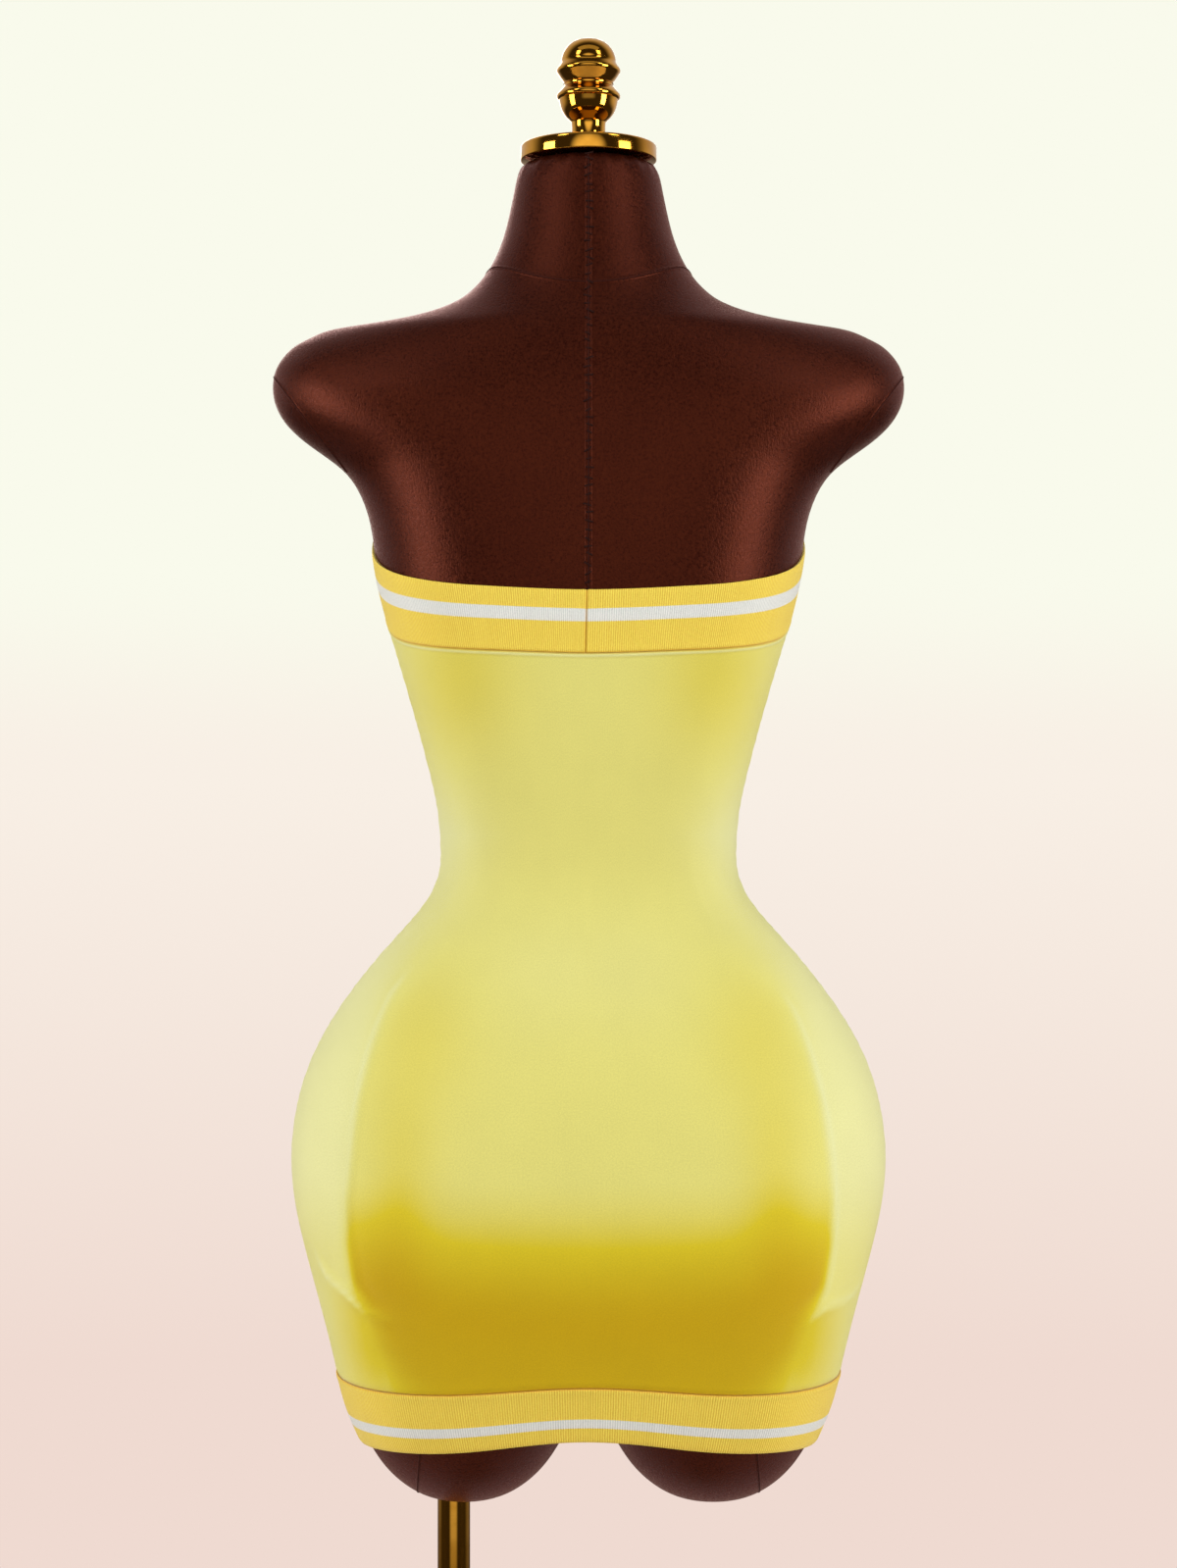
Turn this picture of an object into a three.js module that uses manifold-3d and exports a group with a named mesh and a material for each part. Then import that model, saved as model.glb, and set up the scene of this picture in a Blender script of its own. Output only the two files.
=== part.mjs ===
// Strapless tube dress of stretch jersey with ribbed bands, on a limbless dress form that stands on
// a brass pole and a round base. Millimetres, +Z up, the front towards -Y, the floor at z = 0.
import * as THREE from "three";
import { mergeVertices } from "three/addons/utils/BufferGeometryUtils.js";
import Module from "manifold-3d";

const wasm = await Module();
wasm.setup();

// Driving dimensions
const JERSEY = 1.2; // wall of the two panels
const RIB = 2.0; // wall of the folded rib bands
const FOLD_ROUND = 0.6; // how far the folded edge of a band is rounded on each face
const REST_GAP = 0.45; // clear air between the form and the cloth
const SEAM_GAP = 0.3; // between pieces that meet
const MEAN_GIRTH = 950; // around the cloth, which makes a gap a share of a turn
const HALF_GAP_TURN = SEAM_GAP / 2 / MEAN_GIRTH;
const COLUMNS = 48; // steps around the figure
const PANEL_ROWS = 24; // steps up a panel
const WAIST_SHARE = 0.63; // where up a panel the rows lie closest
const WAIST_CROWDING = 0.4; // how much closer they lie there
const BAND_JOIN = { top: 0.2488, bottom: 0.2472 }; // turn of the band's own join, just off the centre back

const POLE = { across: 94.7, radius: 11.4, deepInForm: 150, sides: 24 };
const THIGH = { bottom: 626, roundFrom: 682, top: 765, bend: 2.3, fit: 0.965, lastRing: 0.97, sides: 32 };
const NECK_TOP = 1562.7;
const DISC = { bottom: 1563, radius: 48, thick: 11, edge: 2.5 };
const BASE = { radius: 180, thick: 8, edge: 2.5 };
const SOCKET = { wall: 7.5, height: 52, flange: 30, flangeThick: 4 };

// The figure, a row for each level section: half its width, how far it reaches back and forward,
// where front to back it is widest, the half length of its flatter back and front, and the
// exponent that squares it.
const FIGURE = [
  { z: 640, half: 150, back: 92, front: 76, middle: 8, flatBack: 86, flatFront: 86, square: 2.1 },
  { z: 668, half: 157.5, back: 103, front: 84, middle: 8, flatBack: 86, flatFront: 86, square: 2.1 },
  { z: 690, half: 167.3, back: 111, front: 89, middle: 9, flatBack: 85, flatFront: 84, square: 2.12 },
  { z: 720, half: 174.8, back: 118.5, front: 93, middle: 10, flatBack: 82, flatFront: 77, square: 2.15 },
  { z: 750, half: 182, back: 126, front: 97, middle: 10, flatBack: 78, flatFront: 69, square: 2.18 },
  { z: 780, half: 190, back: 133, front: 101, middle: 10, flatBack: 73, flatFront: 60, square: 2.2 },
  { z: 810, half: 198.2, back: 138, front: 105, middle: 10, flatBack: 67, flatFront: 52, square: 2.2 },
  { z: 840, half: 204.9, back: 140, front: 108, middle: 9, flatBack: 60, flatFront: 45, square: 2.2 },
  { z: 870, half: 207.2, back: 138.5, front: 110, middle: 8, flatBack: 53, flatFront: 40, square: 2.2 },
  { z: 900, half: 203, back: 133.5, front: 110, middle: 7, flatBack: 46, flatFront: 35, square: 2.2 },
  { z: 930, half: 194.4, back: 125.5, front: 108, middle: 6, flatBack: 39, flatFront: 31, square: 2.2 },
  { z: 960, half: 178.2, back: 114.5, front: 103, middle: 5, flatBack: 32, flatFront: 27, square: 2.18 },
  { z: 985, half: 160.6, back: 103.5, front: 98, middle: 3, flatBack: 26, flatFront: 23, square: 2.15 },
  { z: 1010, half: 140, back: 92.5, front: 91.5, middle: 2, flatBack: 20, flatFront: 18, square: 2.12 },
  { z: 1030, half: 121.6, back: 84, front: 86, middle: 1, flatBack: 15, flatFront: 15, square: 2.1 },
  { z: 1048, half: 108, back: 78.5, front: 82.5, middle: 0, flatBack: 12, flatFront: 13, square: 2.1 },
  { z: 1068, half: 101.9, back: 76, front: 81, middle: 0, flatBack: 11, flatFront: 12, square: 2.1 },
  { z: 1100, half: 103.3, back: 78.5, front: 84, middle: 0, flatBack: 14, flatFront: 15, square: 2.1 },
  { z: 1140, half: 111.7, back: 83.5, front: 92, middle: 0, flatBack: 21, flatFront: 22, square: 2.1 },
  { z: 1180, half: 122.4, back: 88.5, front: 105, middle: 0, flatBack: 29, flatFront: 35, square: 2.12 },
  { z: 1213, half: 132.2, back: 92.5, front: 119, middle: 0, flatBack: 36, flatFront: 49, square: 2.15 },
  { z: 1245, half: 141.6, back: 95.5, front: 128, middle: 0, flatBack: 43, flatFront: 58, square: 2.2 },
  { z: 1275, half: 149, back: 97.5, front: 128.5, middle: 0, flatBack: 48, flatFront: 60, square: 2.25 },
  { z: 1305, half: 152.3, back: 98.5, front: 123, middle: 1, flatBack: 51, flatFront: 57, square: 2.3 },
  { z: 1325, half: 156.4, back: 98.5, front: 116.5, middle: 2, flatBack: 52, flatFront: 51, square: 2.3 },
  { z: 1340, half: 166, back: 98.3, front: 110, middle: 3, flatBack: 52, flatFront: 45, square: 2.3 },
  { z: 1354, half: 183.3, back: 97.5, front: 103, middle: 4, flatBack: 50, flatFront: 39, square: 2.3 },
  { z: 1370, half: 207, back: 96, front: 95, middle: 5, flatBack: 46, flatFront: 32, square: 2.35 },
  { z: 1386, half: 219.4, back: 94, front: 87, middle: 6, flatBack: 40, flatFront: 26, square: 2.4 },
  { z: 1400, half: 222.8, back: 91.5, front: 80, middle: 7, flatBack: 33, flatFront: 20, square: 2.4 },
  { z: 1416, half: 220.6, back: 88, front: 73, middle: 7, flatBack: 22, flatFront: 13, square: 2.3 },
  { z: 1428, half: 212.6, back: 84.5, front: 69, middle: 8, flatBack: 12, flatFront: 7, square: 2.1 },
  { z: 1435, half: 200, back: 82, front: 66, middle: 8, flatBack: 5, flatFront: 3, square: 1.95 },
  { z: 1443, half: 181, back: 79.5, front: 64, middle: 8, flatBack: 1, flatFront: 1, square: 1.85 },
  { z: 1446, half: 153, back: 78, front: 63, middle: 8, flatBack: 0, flatFront: 0, square: 1.8 },
  { z: 1450, half: 123.5, back: 76, front: 62, middle: 8, flatBack: 0, flatFront: 0, square: 1.8 },
  { z: 1457, half: 103, back: 73, front: 61, middle: 7, flatBack: 0, flatFront: 0, square: 1.85 },
  { z: 1466.5, half: 87, back: 69.5, front: 59.5, middle: 6, flatBack: 0, flatFront: 0, square: 1.9 },
  { z: 1484, half: 70.5, back: 63.5, front: 57, middle: 3, flatBack: 0, flatFront: 0, square: 1.97 },
  { z: 1501, half: 61.8, back: 58.5, front: 55, middle: 1, flatBack: 0, flatFront: 0, square: 2 },
  { z: 1530, half: 54.6, back: 52.5, front: 51.5, middle: 0, flatBack: 0, flatFront: 0, square: 2 },
  { z: 1563, half: 48.3, back: 47.5, front: 47.5, middle: 0, flatBack: 0, flatFront: 0, square: 2 },
];

// Heights of the cloth's edges and seams, by degrees around from the centre back to the centre front.
const EDGES = [
  { around: 0, topEdge: 1255.7, topSeam: 1213.3, hemSeam: 725, hemEdge: 687.2 },
  { around: 37, topEdge: 1259.5, topSeam: 1216.2, hemSeam: 719, hemEdge: 678 },
  { around: 55, topEdge: 1265.5, topSeam: 1219.5, hemSeam: 718, hemEdge: 675.2 },
  { around: 72, topEdge: 1275.5, topSeam: 1225.5, hemSeam: 717.5, hemEdge: 672 },
  { around: 90, topEdge: 1293, topSeam: 1237, hemSeam: 718, hemEdge: 669 },
  { around: 112, topEdge: 1312, topSeam: 1258, hemSeam: 718.5, hemEdge: 672.5 },
  { around: 142, topEdge: 1324, topSeam: 1274, hemSeam: 719.5, hemEdge: 678 },
  { around: 180, topEdge: 1317, topSeam: 1268, hemSeam: 722, hemEdge: 683 },
];

// The hollow of the spine, which the taut cloth spans
const SPINE = { deep: 3, halfWidth: 26, from: 1030, full: 1120, fade: 1360, to: 1440 };

const slopeBetween = (rows, key, column, i) =>
  (rows[i + 1][column] - rows[i][column]) / (rows[i + 1][key] - rows[i][key]);

// Slope of a column at a row: the harmonic mean of the slopes beside it, or level at a turning point
function slopeAt(rows, key, column, i) {
  if (i === 0) return slopeBetween(rows, key, column, 0);
  if (i === rows.length - 1) return slopeBetween(rows, key, column, i - 1);
  const before = slopeBetween(rows, key, column, i - 1);
  const after = slopeBetween(rows, key, column, i);
  return before * after <= 0 ? 0 : (2 * before * after) / (before + after);
}

// A column's value between its rows, on a smooth curve that doesn't overshoot them
function between(rows, key, column, place) {
  let i = 0;
  while (i < rows.length - 2 && rows[i + 1][key] < place) i += 1;
  const step = rows[i + 1][key] - rows[i][key];
  const t = THREE.MathUtils.clamp((place - rows[i][key]) / step, 0, 1);
  const startPull = slopeAt(rows, key, column, i) * step;
  const endPull = slopeAt(rows, key, column, i + 1) * step;
  return (
    (1 + 2 * t) * (1 - t) ** 2 * rows[i][column] +
    t * (1 - t) ** 2 * startPull +
    t * t * (3 - 2 * t) * rows[i + 1][column] -
    t * t * (1 - t) * endPull
  );
}

const mirrored = [
  { ...EDGES[1], around: -EDGES[1].around },
  ...EDGES,
  { ...EDGES.at(-2), around: 360 - EDGES.at(-2).around },
];

// Height of an edge or seam at a turn: 0 is the wearer's left side, 0.25 the centre back
function edgeHeight(name, turn) {
  const fromBack = Math.abs(((turn - 0.25 + 1.5) % 1) - 0.5) * 360;
  return between(mirrored, "around", name, fromBack);
}

const signedPower = (value, power) => Math.sign(value) * Math.abs(value) ** power;
const FLAT_EASE = 0.16; // how gently a flatter stretch runs into the round ends
const HALF_STEPS = 96;

// One half of a level section, from the side where it starts to the other, with its running length
function halfSection(z, isBack) {
  const at = (column) => between(FIGURE, "z", column, z);
  const half = at("half");
  const middle = at("middle");
  const flat = at(isBack ? "flatBack" : "flatFront");
  const depth = isBack ? at("back") - middle : at("front") + middle;
  const power = 2 / at("square");
  const way = isBack ? 1 : -1;
  const points = [];
  const run = [0];
  for (let i = 0; i <= HALF_STEPS; i += 1) {
    const angle = (Math.PI * i) / HALF_STEPS;
    const c = Math.cos(angle);
    const s = Math.max(0, Math.sin(angle));
    const eased = (c * Math.sqrt(1 + FLAT_EASE ** 2)) / Math.hypot(c, FLAT_EASE);
    const x = flat * eased + (half - flat) * signedPower(c, power);
    points.push(new THREE.Vector2(way * x, middle + way * depth * s ** power));
    if (i > 0) run.push(run[i - 1] + points[i].distanceTo(points[i - 1]));
  }
  return { points, run };
}

const sections = new Map();

function sectionAt(z, isBack) {
  const key = `${z.toFixed(4)}${isBack}`;
  if (!sections.has(key)) sections.set(key, halfSection(z, isBack));
  return sections.get(key);
}

// A point of the figure: equal shares of the turn are equal lengths around each half
function figurePoint(turn, z) {
  const whole = ((turn % 1) + 1) % 1;
  const isBack = whole < 0.5;
  const { points, run } = sectionAt(z, isBack);
  const wanted = (isBack ? whole : whole - 0.5) * 2 * run.at(-1);
  let i = 1;
  while (i < HALF_STEPS && run[i] < wanted) i += 1;
  const share = (wanted - run[i - 1]) / (run[i] - run[i - 1]);
  const flat = points[i - 1].clone().lerp(points[i], share);
  return new THREE.Vector3(flat.x, flat.y, z);
}

function outward(turn, z) {
  const small = 0.004;
  const tall = 0.6;
  const around = figurePoint(turn + small, z).sub(figurePoint(turn - small, z));
  const up = figurePoint(turn, z + tall).sub(figurePoint(turn, z - tall));
  return around.cross(up).normalize();
}

const raised = (turn, z, by) => figurePoint(turn, z).addScaledVector(outward(turn, z), by);

const evenly = (count, of) => Array.from({ length: count + 1 }, (_, i) => of(i / count, i));

function indexed(points, faces) {
  const geometry = new THREE.BufferGeometry();
  geometry.setAttribute("position", new THREE.Float32BufferAttribute(points.flatMap((p) => p.toArray()), 3));
  geometry.setIndex(faces.flat());
  geometry.computeVertexNormals();
  return geometry;
}

// A closed wall of cloth. outer and inner hold its points, row by row from the bottom up.
function clothWall(outer, inner, isRing) {
  const wide = outer[0].length;
  const tall = outer.length;
  const steps = isRing ? wide : wide - 1;
  const out = (row, column) => row * wide + (column % wide);
  const back = (row, column) => wide * tall + out(row, column);
  const faces = [];
  const quad = (a, b, c, d) => faces.push([a, b, c], [a, c, d]);
  for (let row = 0; row < tall - 1; row += 1)
    for (let i = 0; i < steps; i += 1) {
      quad(out(row, i), out(row, i + 1), out(row + 1, i + 1), out(row + 1, i));
      quad(back(row + 1, i + 1), back(row, i + 1), back(row, i), back(row + 1, i));
    }
  for (let i = 0; i < steps; i += 1) {
    quad(back(0, i), back(0, i + 1), out(0, i + 1), out(0, i));
    quad(out(tall - 1, i), out(tall - 1, i + 1), back(tall - 1, i + 1), back(tall - 1, i));
  }
  if (!isRing)
    for (let row = 0; row < tall - 1; row += 1) {
      quad(back(row, 0), out(row, 0), out(row + 1, 0), back(row + 1, 0));
      quad(out(row, steps), back(row, steps), back(row + 1, steps), out(row + 1, steps));
    }
  return indexed([...outer.flat(), ...inner.flat()], faces);
}

// Share of the way up a panel for an even share of its rows, closer together at the waist
function panelShare(t) {
  const swing = (place) => Math.sin(2 * Math.PI * (place - WAIST_SHARE));
  return t - (WAIST_CROWDING / (2 * Math.PI)) * (swing(t) - swing(0));
}

const lowSeam = (turn) => edgeHeight("hemSeam", turn) + SEAM_GAP / 2;
const highSeam = (turn) => edgeHeight("topSeam", turn) - SEAM_GAP / 2;
const panelHeight = (turn, share) => THREE.MathUtils.lerp(lowSeam(turn), highSeam(turn), share);

// Front or back of the tube, from side seam to side seam
function panel(startTurn) {
  const turns = evenly(COLUMNS / 2, (t) => startTurn + HALF_GAP_TURN + t * (0.5 - 2 * HALF_GAP_TURN));
  const wallAt = (by) =>
    evenly(PANEL_ROWS, (t) => turns.map((turn) => raised(turn, panelHeight(turn, panelShare(t)), by)));
  return clothWall(wallAt(REST_GAP + JERSEY), wallAt(REST_GAP), false);
}

// Shares up a band from its seam to its folded edge, and how far the fold is rounded at each
const BAND_ROWS = [
  { up: 0, round: 0 },
  { up: 0.48, round: 0 },
  { up: 0.96, round: 0 },
  { up: 1, round: 1 },
];

const ringTurns = evenly(COLUMNS, (t) => t).slice(0, -1);

// The turns of a strip whose two ends meet at a join beside the centre back
function joinedTurns(join) {
  const centreBack = COLUMNS / 4;
  const fromEndToEnd = evenly(COLUMNS - 2, (_, i) => (centreBack + 1 + i) / COLUMNS);
  return [join + HALF_GAP_TURN, ...fromEndToEnd, join + 1 - HALF_GAP_TURN];
}

// A ribbed band between a seam and a folded edge. joinAt gives the turn of its own join by share.
function band(seamHeight, foldHeight, joinAt) {
  const rowsUp = foldHeight(0) > seamHeight(0) ? BAND_ROWS : [...BAND_ROWS].reverse();
  const wallAt = (by, way) =>
    rowsUp.map(({ up, round }) => {
      const turns = joinAt ? joinedTurns(joinAt(up)) : ringTurns;
      return turns.map((turn) => {
        const height = THREE.MathUtils.lerp(seamHeight(turn), foldHeight(turn), up);
        return raised(turn, height, by - way * round * FOLD_ROUND);
      });
    });
  return clothWall(wallAt(REST_GAP + RIB, 1), wallAt(REST_GAP, -1), !joinAt);
}

function topBand() {
  const seam = (turn) => edgeHeight("topSeam", turn) + SEAM_GAP / 2;
  const fold = (turn) => edgeHeight("topEdge", turn);
  return band(seam, fold, (up) => THREE.MathUtils.lerp(BAND_JOIN.bottom, BAND_JOIN.top, up));
}

function hemBand() {
  const seam = (turn) => edgeHeight("hemSeam", turn) - SEAM_GAP / 2;
  const fold = (turn) => edgeHeight("hemEdge", turn);
  return band(seam, fold, null);
}

// A closed solid through rings of equal count, each end closed round its middle point
function loft(rings) {
  const wide = rings[0].length;
  const faces = [];
  for (let row = 0; row < rings.length - 1; row += 1)
    for (let i = 0; i < wide; i += 1) {
      const a = row * wide + i;
      const b = row * wide + ((i + 1) % wide);
      faces.push([a, b, b + wide], [a, b + wide, a + wide]);
    }
  const middleOf = (ring) =>
    ring.reduce((sum, p) => sum.add(p), new THREE.Vector3()).divideScalar(wide);
  const low = rings.length * wide;
  const top = low - wide;
  for (let i = 0; i < wide; i += 1) {
    const next = (i + 1) % wide;
    faces.push([low, next, i], [low + 1, top + i, top + next]);
  }
  return indexed([...rings.flat(), middleOf(rings[0]), middleOf(rings.at(-1))], faces);
}

const smooth = THREE.MathUtils.smoothstep;

function spineHollow(turn, z) {
  const x = figurePoint(turn, z).x;
  const isBack = turn < 0.5;
  const tall = smooth(z, SPINE.from, SPINE.full) * (1 - smooth(z, SPINE.fade, SPINE.to));
  return isBack ? SPINE.deep * tall * Math.exp(-((x / SPINE.halfWidth) ** 2)) : 0;
}

// Level rings of the form above the cloth, closer together where the shoulders lie nearly flat
const UPPER_RINGS = [
  { from: 1340, to: 1430, steps: 7 },
  { from: 1434.5, to: 1450, steps: 5 },
  { from: 1459, to: 1476, steps: 3 },
  { from: 1488, to: NECK_TOP, steps: 4 },
];
// The seat of the form below, drawn in between the thighs
const SEAT_RINGS = [
  { z: 703, inset: 34 },
  { z: 706, inset: 16 },
  { z: 713, inset: 4 },
];

function torso() {
  const ring = (heightAt, inset = 0) =>
    ringTurns.map((turn) => raised(turn, heightAt(turn), -inset - spineHollow(turn, heightAt(turn))));
  const seat = SEAT_RINGS.map(({ z, inset }) => ring(() => z, inset));
  const underPanels = evenly(PANEL_ROWS, (t) => ring((turn) => panelHeight(turn, panelShare(t))));
  const bandShare = (share) => (turn) =>
    THREE.MathUtils.lerp(edgeHeight("topSeam", turn), edgeHeight("topEdge", turn), share);
  const underBand = BAND_ROWS.slice(1).map(({ up }) => ring(bandShare(up)));
  const bareFrom = (turn) => THREE.MathUtils.lerp(edgeHeight("topEdge", turn), UPPER_RINGS[0].from, 0.5);
  const upper = UPPER_RINGS.flatMap(({ from, to, steps }) =>
    evenly(steps, (t) => ring(() => THREE.MathUtils.lerp(from, to, t))),
  );
  return loft([...seat, ...underPanels, ...underBand, ring(bareFrom), ...upper]);
}

// Heights of the rings of a thigh stub, closer together towards its rounded end
function thighHeights() {
  const straight = evenly(4, (t) => THREE.MathUtils.lerp(THIGH.top, THIGH.roundFrom, t));
  const rounded = evenly(7, (t) =>
    THREE.MathUtils.lerp(THIGH.roundFrom, THIGH.bottom, Math.sin((Math.PI / 2) * t * THIGH.lastRing)),
  );
  return [...straight, ...rounded.slice(1)].reverse();
}

function thigh(side) {
  const rings = thighHeights().map((z) => {
    const at = (column) => between(FIGURE, "z", column, Math.max(z, FIGURE[0].z));
    const centre = at("flatBack");
    const down = Math.max(0, (THIGH.roundFrom - z) / (THIGH.roundFrom - THIGH.bottom));
    const size = THIGH.fit * (1 - down ** THIGH.bend) ** (1 / THIGH.bend);
    const power = 2 / at("square");
    return evenly(THIGH.sides, (t) => {
      const angle = 2 * Math.PI * t;
      const x = side * centre + (at("half") - centre) * size * signedPower(Math.cos(angle), power);
      const reach = Math.sin(angle) > 0 ? at("back") - at("middle") : at("front") + at("middle");
      const y = at("middle") + reach * size * signedPower(Math.sin(angle), power);
      return new THREE.Vector3(x, y, z);
    }).slice(0, -1);
  });
  return loft(rings);
}

function solidOf(geometry) {
  const bare = geometry.index ? geometry.toNonIndexed() : geometry.clone();
  bare.deleteAttribute("normal");
  bare.deleteAttribute("uv");
  const merged = mergeVertices(bare, 1e-3);
  const made = new wasm.Mesh({
    numProp: 3,
    vertProperties: merged.attributes.position.array,
    triVerts: new Uint32Array(merged.index.array),
  });
  return new wasm.Manifold(made);
}

function geometryOf(solid) {
  const mesh = solid.getMesh();
  const geometry = new THREE.BufferGeometry();
  geometry.setAttribute("position", new THREE.BufferAttribute(new Float32Array(mesh.vertProperties), 3));
  geometry.setIndex(new THREE.BufferAttribute(new Uint32Array(mesh.triVerts), 1));
  geometry.computeVertexNormals();
  return geometry;
}

function rod(radius, from, to, sides) {
  const geometry = new THREE.CylinderGeometry(radius, radius, to - from, sides);
  return geometry.rotateX(Math.PI / 2).translate(POLE.across, 0, (from + to) / 2);
}

const poleTop = THIGH.bottom + POLE.deepInForm;

function formBody() {
  const bore = rod(POLE.radius + SEAM_GAP, THIGH.bottom - 20, poleTop + SEAM_GAP, POLE.sides);
  const whole = solidOf(torso()).add(solidOf(thigh(1))).add(solidOf(thigh(-1)));
  return geometryOf(whole.subtract(solidOf(bore)));
}

// A turned piece about the vertical axis, from rows of height and radius, bottom to top
function turned(profile, sides, across = 0) {
  const points = profile.map(({ z, r }) => new THREE.Vector2(r, z));
  const geometry = new THREE.LatheGeometry(points, sides);
  return geometry.rotateX(Math.PI / 2).translate(across, 0, 0);
}

function disc(bottom, radius, thick, edge, sides) {
  return turned(
    [
      { z: bottom, r: 0 },
      { z: bottom, r: radius - edge * 0.6 },
      { z: bottom + edge * 0.6, r: radius },
      { z: bottom + thick - edge, r: radius },
      { z: bottom + thick - edge * 0.3, r: radius - edge * 0.3 },
      { z: bottom + thick, r: radius - edge },
      { z: bottom + thick, r: 0 },
    ],
    sides,
  );
}

// The turned finial, up from the disc: foot, stem, bowl, lower flange, waist, upper flange, dome
const FINIAL = [
  { up: 0, r: 0 },
  { up: 0, r: 14 },
  { up: 3, r: 14 },
  { up: 5, r: 12.2 },
  { up: 16, r: 12 },
  { up: 17.2, r: 12.8 },
  { up: 21.3, r: 17 },
  { up: 25.5, r: 19.4 },
  { up: 31.6, r: 20.6 },
  { up: 32.6, r: 21.9 },
  { up: 34.7, r: 22.5 },
  { up: 36.5, r: 21.6 },
  { up: 41, r: 17.6 },
  { up: 42.4, r: 16.9 },
  { up: 43.8, r: 17.6 },
  { up: 51, r: 22 },
  { up: 52.3, r: 22.6 },
  { up: 53.6, r: 22.2 },
  { up: 59, r: 19.8 },
  { up: 60, r: 19 },
  { up: 66, r: 17.4 },
  { up: 71, r: 13 },
  { up: 74, r: 6.5 },
  { up: 74.8, r: 0 },
];

function finial() {
  const seat = DISC.bottom + DISC.thick + SEAM_GAP;
  return turned(FINIAL.map(({ up, r }) => ({ z: seat + up, r })), 24);
}

function baseSocket() {
  const inside = POLE.radius + SEAM_GAP;
  const outside = inside + SOCKET.wall;
  const foot = BASE.thick + SEAM_GAP;
  const profile = [
    { z: foot, r: inside },
    { z: foot, r: SOCKET.flange },
    { z: foot + SOCKET.flangeThick * 0.6, r: SOCKET.flange },
    { z: foot + SOCKET.flangeThick, r: SOCKET.flange - 2 },
    { z: foot + SOCKET.flangeThick, r: outside + 2 },
    { z: foot + SOCKET.flangeThick + 2, r: outside },
    { z: foot + SOCKET.height - 2, r: outside },
    { z: foot + SOCKET.height, r: outside - 2 },
    { z: foot + SOCKET.height, r: inside },
    { z: foot, r: inside },
  ];
  return turned(profile, POLE.sides, POLE.across);
}

const cloth = (colour) => new THREE.MeshStandardMaterial({ color: colour, roughness: 0.8, metalness: 0 });
const YELLOW_JERSEY = cloth(0xe0dc72);
const YELLOW_RIB = cloth(0xe6cd5a);
const BROWN_SATIN = new THREE.MeshStandardMaterial({ color: 0x4e1f16, roughness: 0.4, metalness: 0 });
const BRASS = new THREE.MeshStandardMaterial({ color: 0xb5832f, roughness: 0.18, metalness: 1 });

const PIECES = [
  { name: "top_band", geometry: topBand(), material: YELLOW_RIB },
  { name: "back_panel", geometry: panel(0), material: YELLOW_JERSEY },
  { name: "front_panel", geometry: panel(0.5), material: YELLOW_JERSEY },
  { name: "hem_band", geometry: hemBand(), material: YELLOW_RIB },
  { name: "form_body", geometry: formBody(), material: BROWN_SATIN },
  { name: "neck_disc", geometry: disc(DISC.bottom, DISC.radius, DISC.thick, DISC.edge, 40), material: BRASS },
  { name: "finial", geometry: finial(), material: BRASS },
  {
    name: "pole",
    geometry: rod(POLE.radius, BASE.thick + SEAM_GAP, poleTop, POLE.sides),
    material: BRASS,
  },
  { name: "base_socket", geometry: baseSocket(), material: BRASS },
  { name: "base_plate", geometry: disc(0, BASE.radius, BASE.thick, BASE.edge, 56), material: BRASS },
];

const dressOnForm = new THREE.Group();
for (const { name, geometry, material } of PIECES) {
  const mesh = new THREE.Mesh(geometry, material);
  mesh.name = name;
  dressOnForm.add(mesh);
}

export default dressOnForm;
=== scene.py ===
"""A strapless bodycon dress in yellow jersey with striped rib bands, on a satin covered dress form.

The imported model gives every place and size. Lengths in the settings are metres, and those in the
tables and the functions are millimetres where a comment doesn't say metres.
"""

import math
import random

import bmesh
import bpy
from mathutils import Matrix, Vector, noise
from mathutils.bvhtree import BVHTree


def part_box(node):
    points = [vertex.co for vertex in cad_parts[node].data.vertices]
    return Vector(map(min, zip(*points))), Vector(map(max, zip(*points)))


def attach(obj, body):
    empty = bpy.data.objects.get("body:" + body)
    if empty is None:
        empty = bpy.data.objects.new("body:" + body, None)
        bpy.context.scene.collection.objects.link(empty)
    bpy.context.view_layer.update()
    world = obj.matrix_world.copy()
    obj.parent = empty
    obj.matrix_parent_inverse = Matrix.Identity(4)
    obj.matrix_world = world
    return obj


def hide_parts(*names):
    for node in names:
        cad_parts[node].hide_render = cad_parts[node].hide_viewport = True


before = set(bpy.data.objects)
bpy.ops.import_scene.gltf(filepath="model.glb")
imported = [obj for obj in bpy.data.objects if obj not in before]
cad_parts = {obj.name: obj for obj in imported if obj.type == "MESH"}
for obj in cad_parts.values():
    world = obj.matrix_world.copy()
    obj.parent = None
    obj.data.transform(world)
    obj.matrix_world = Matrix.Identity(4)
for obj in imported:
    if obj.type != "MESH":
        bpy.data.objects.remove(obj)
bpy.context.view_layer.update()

bl_info = {
    "name": "Bodycon Dress on a Form",
    "version": (1, 0, 0),
    "blender": (4, 5, 0),
    "location": "View3D > Sidebar > Dress",
    "description": "Dresses the packed model in jersey, rib, satin and brass",
    "category": "Add Mesh",
}

MM = 0.001

# Where a ray towards the form starts, well outside it, in metres
OUTSIDE = 0.5


# Settings


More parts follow.
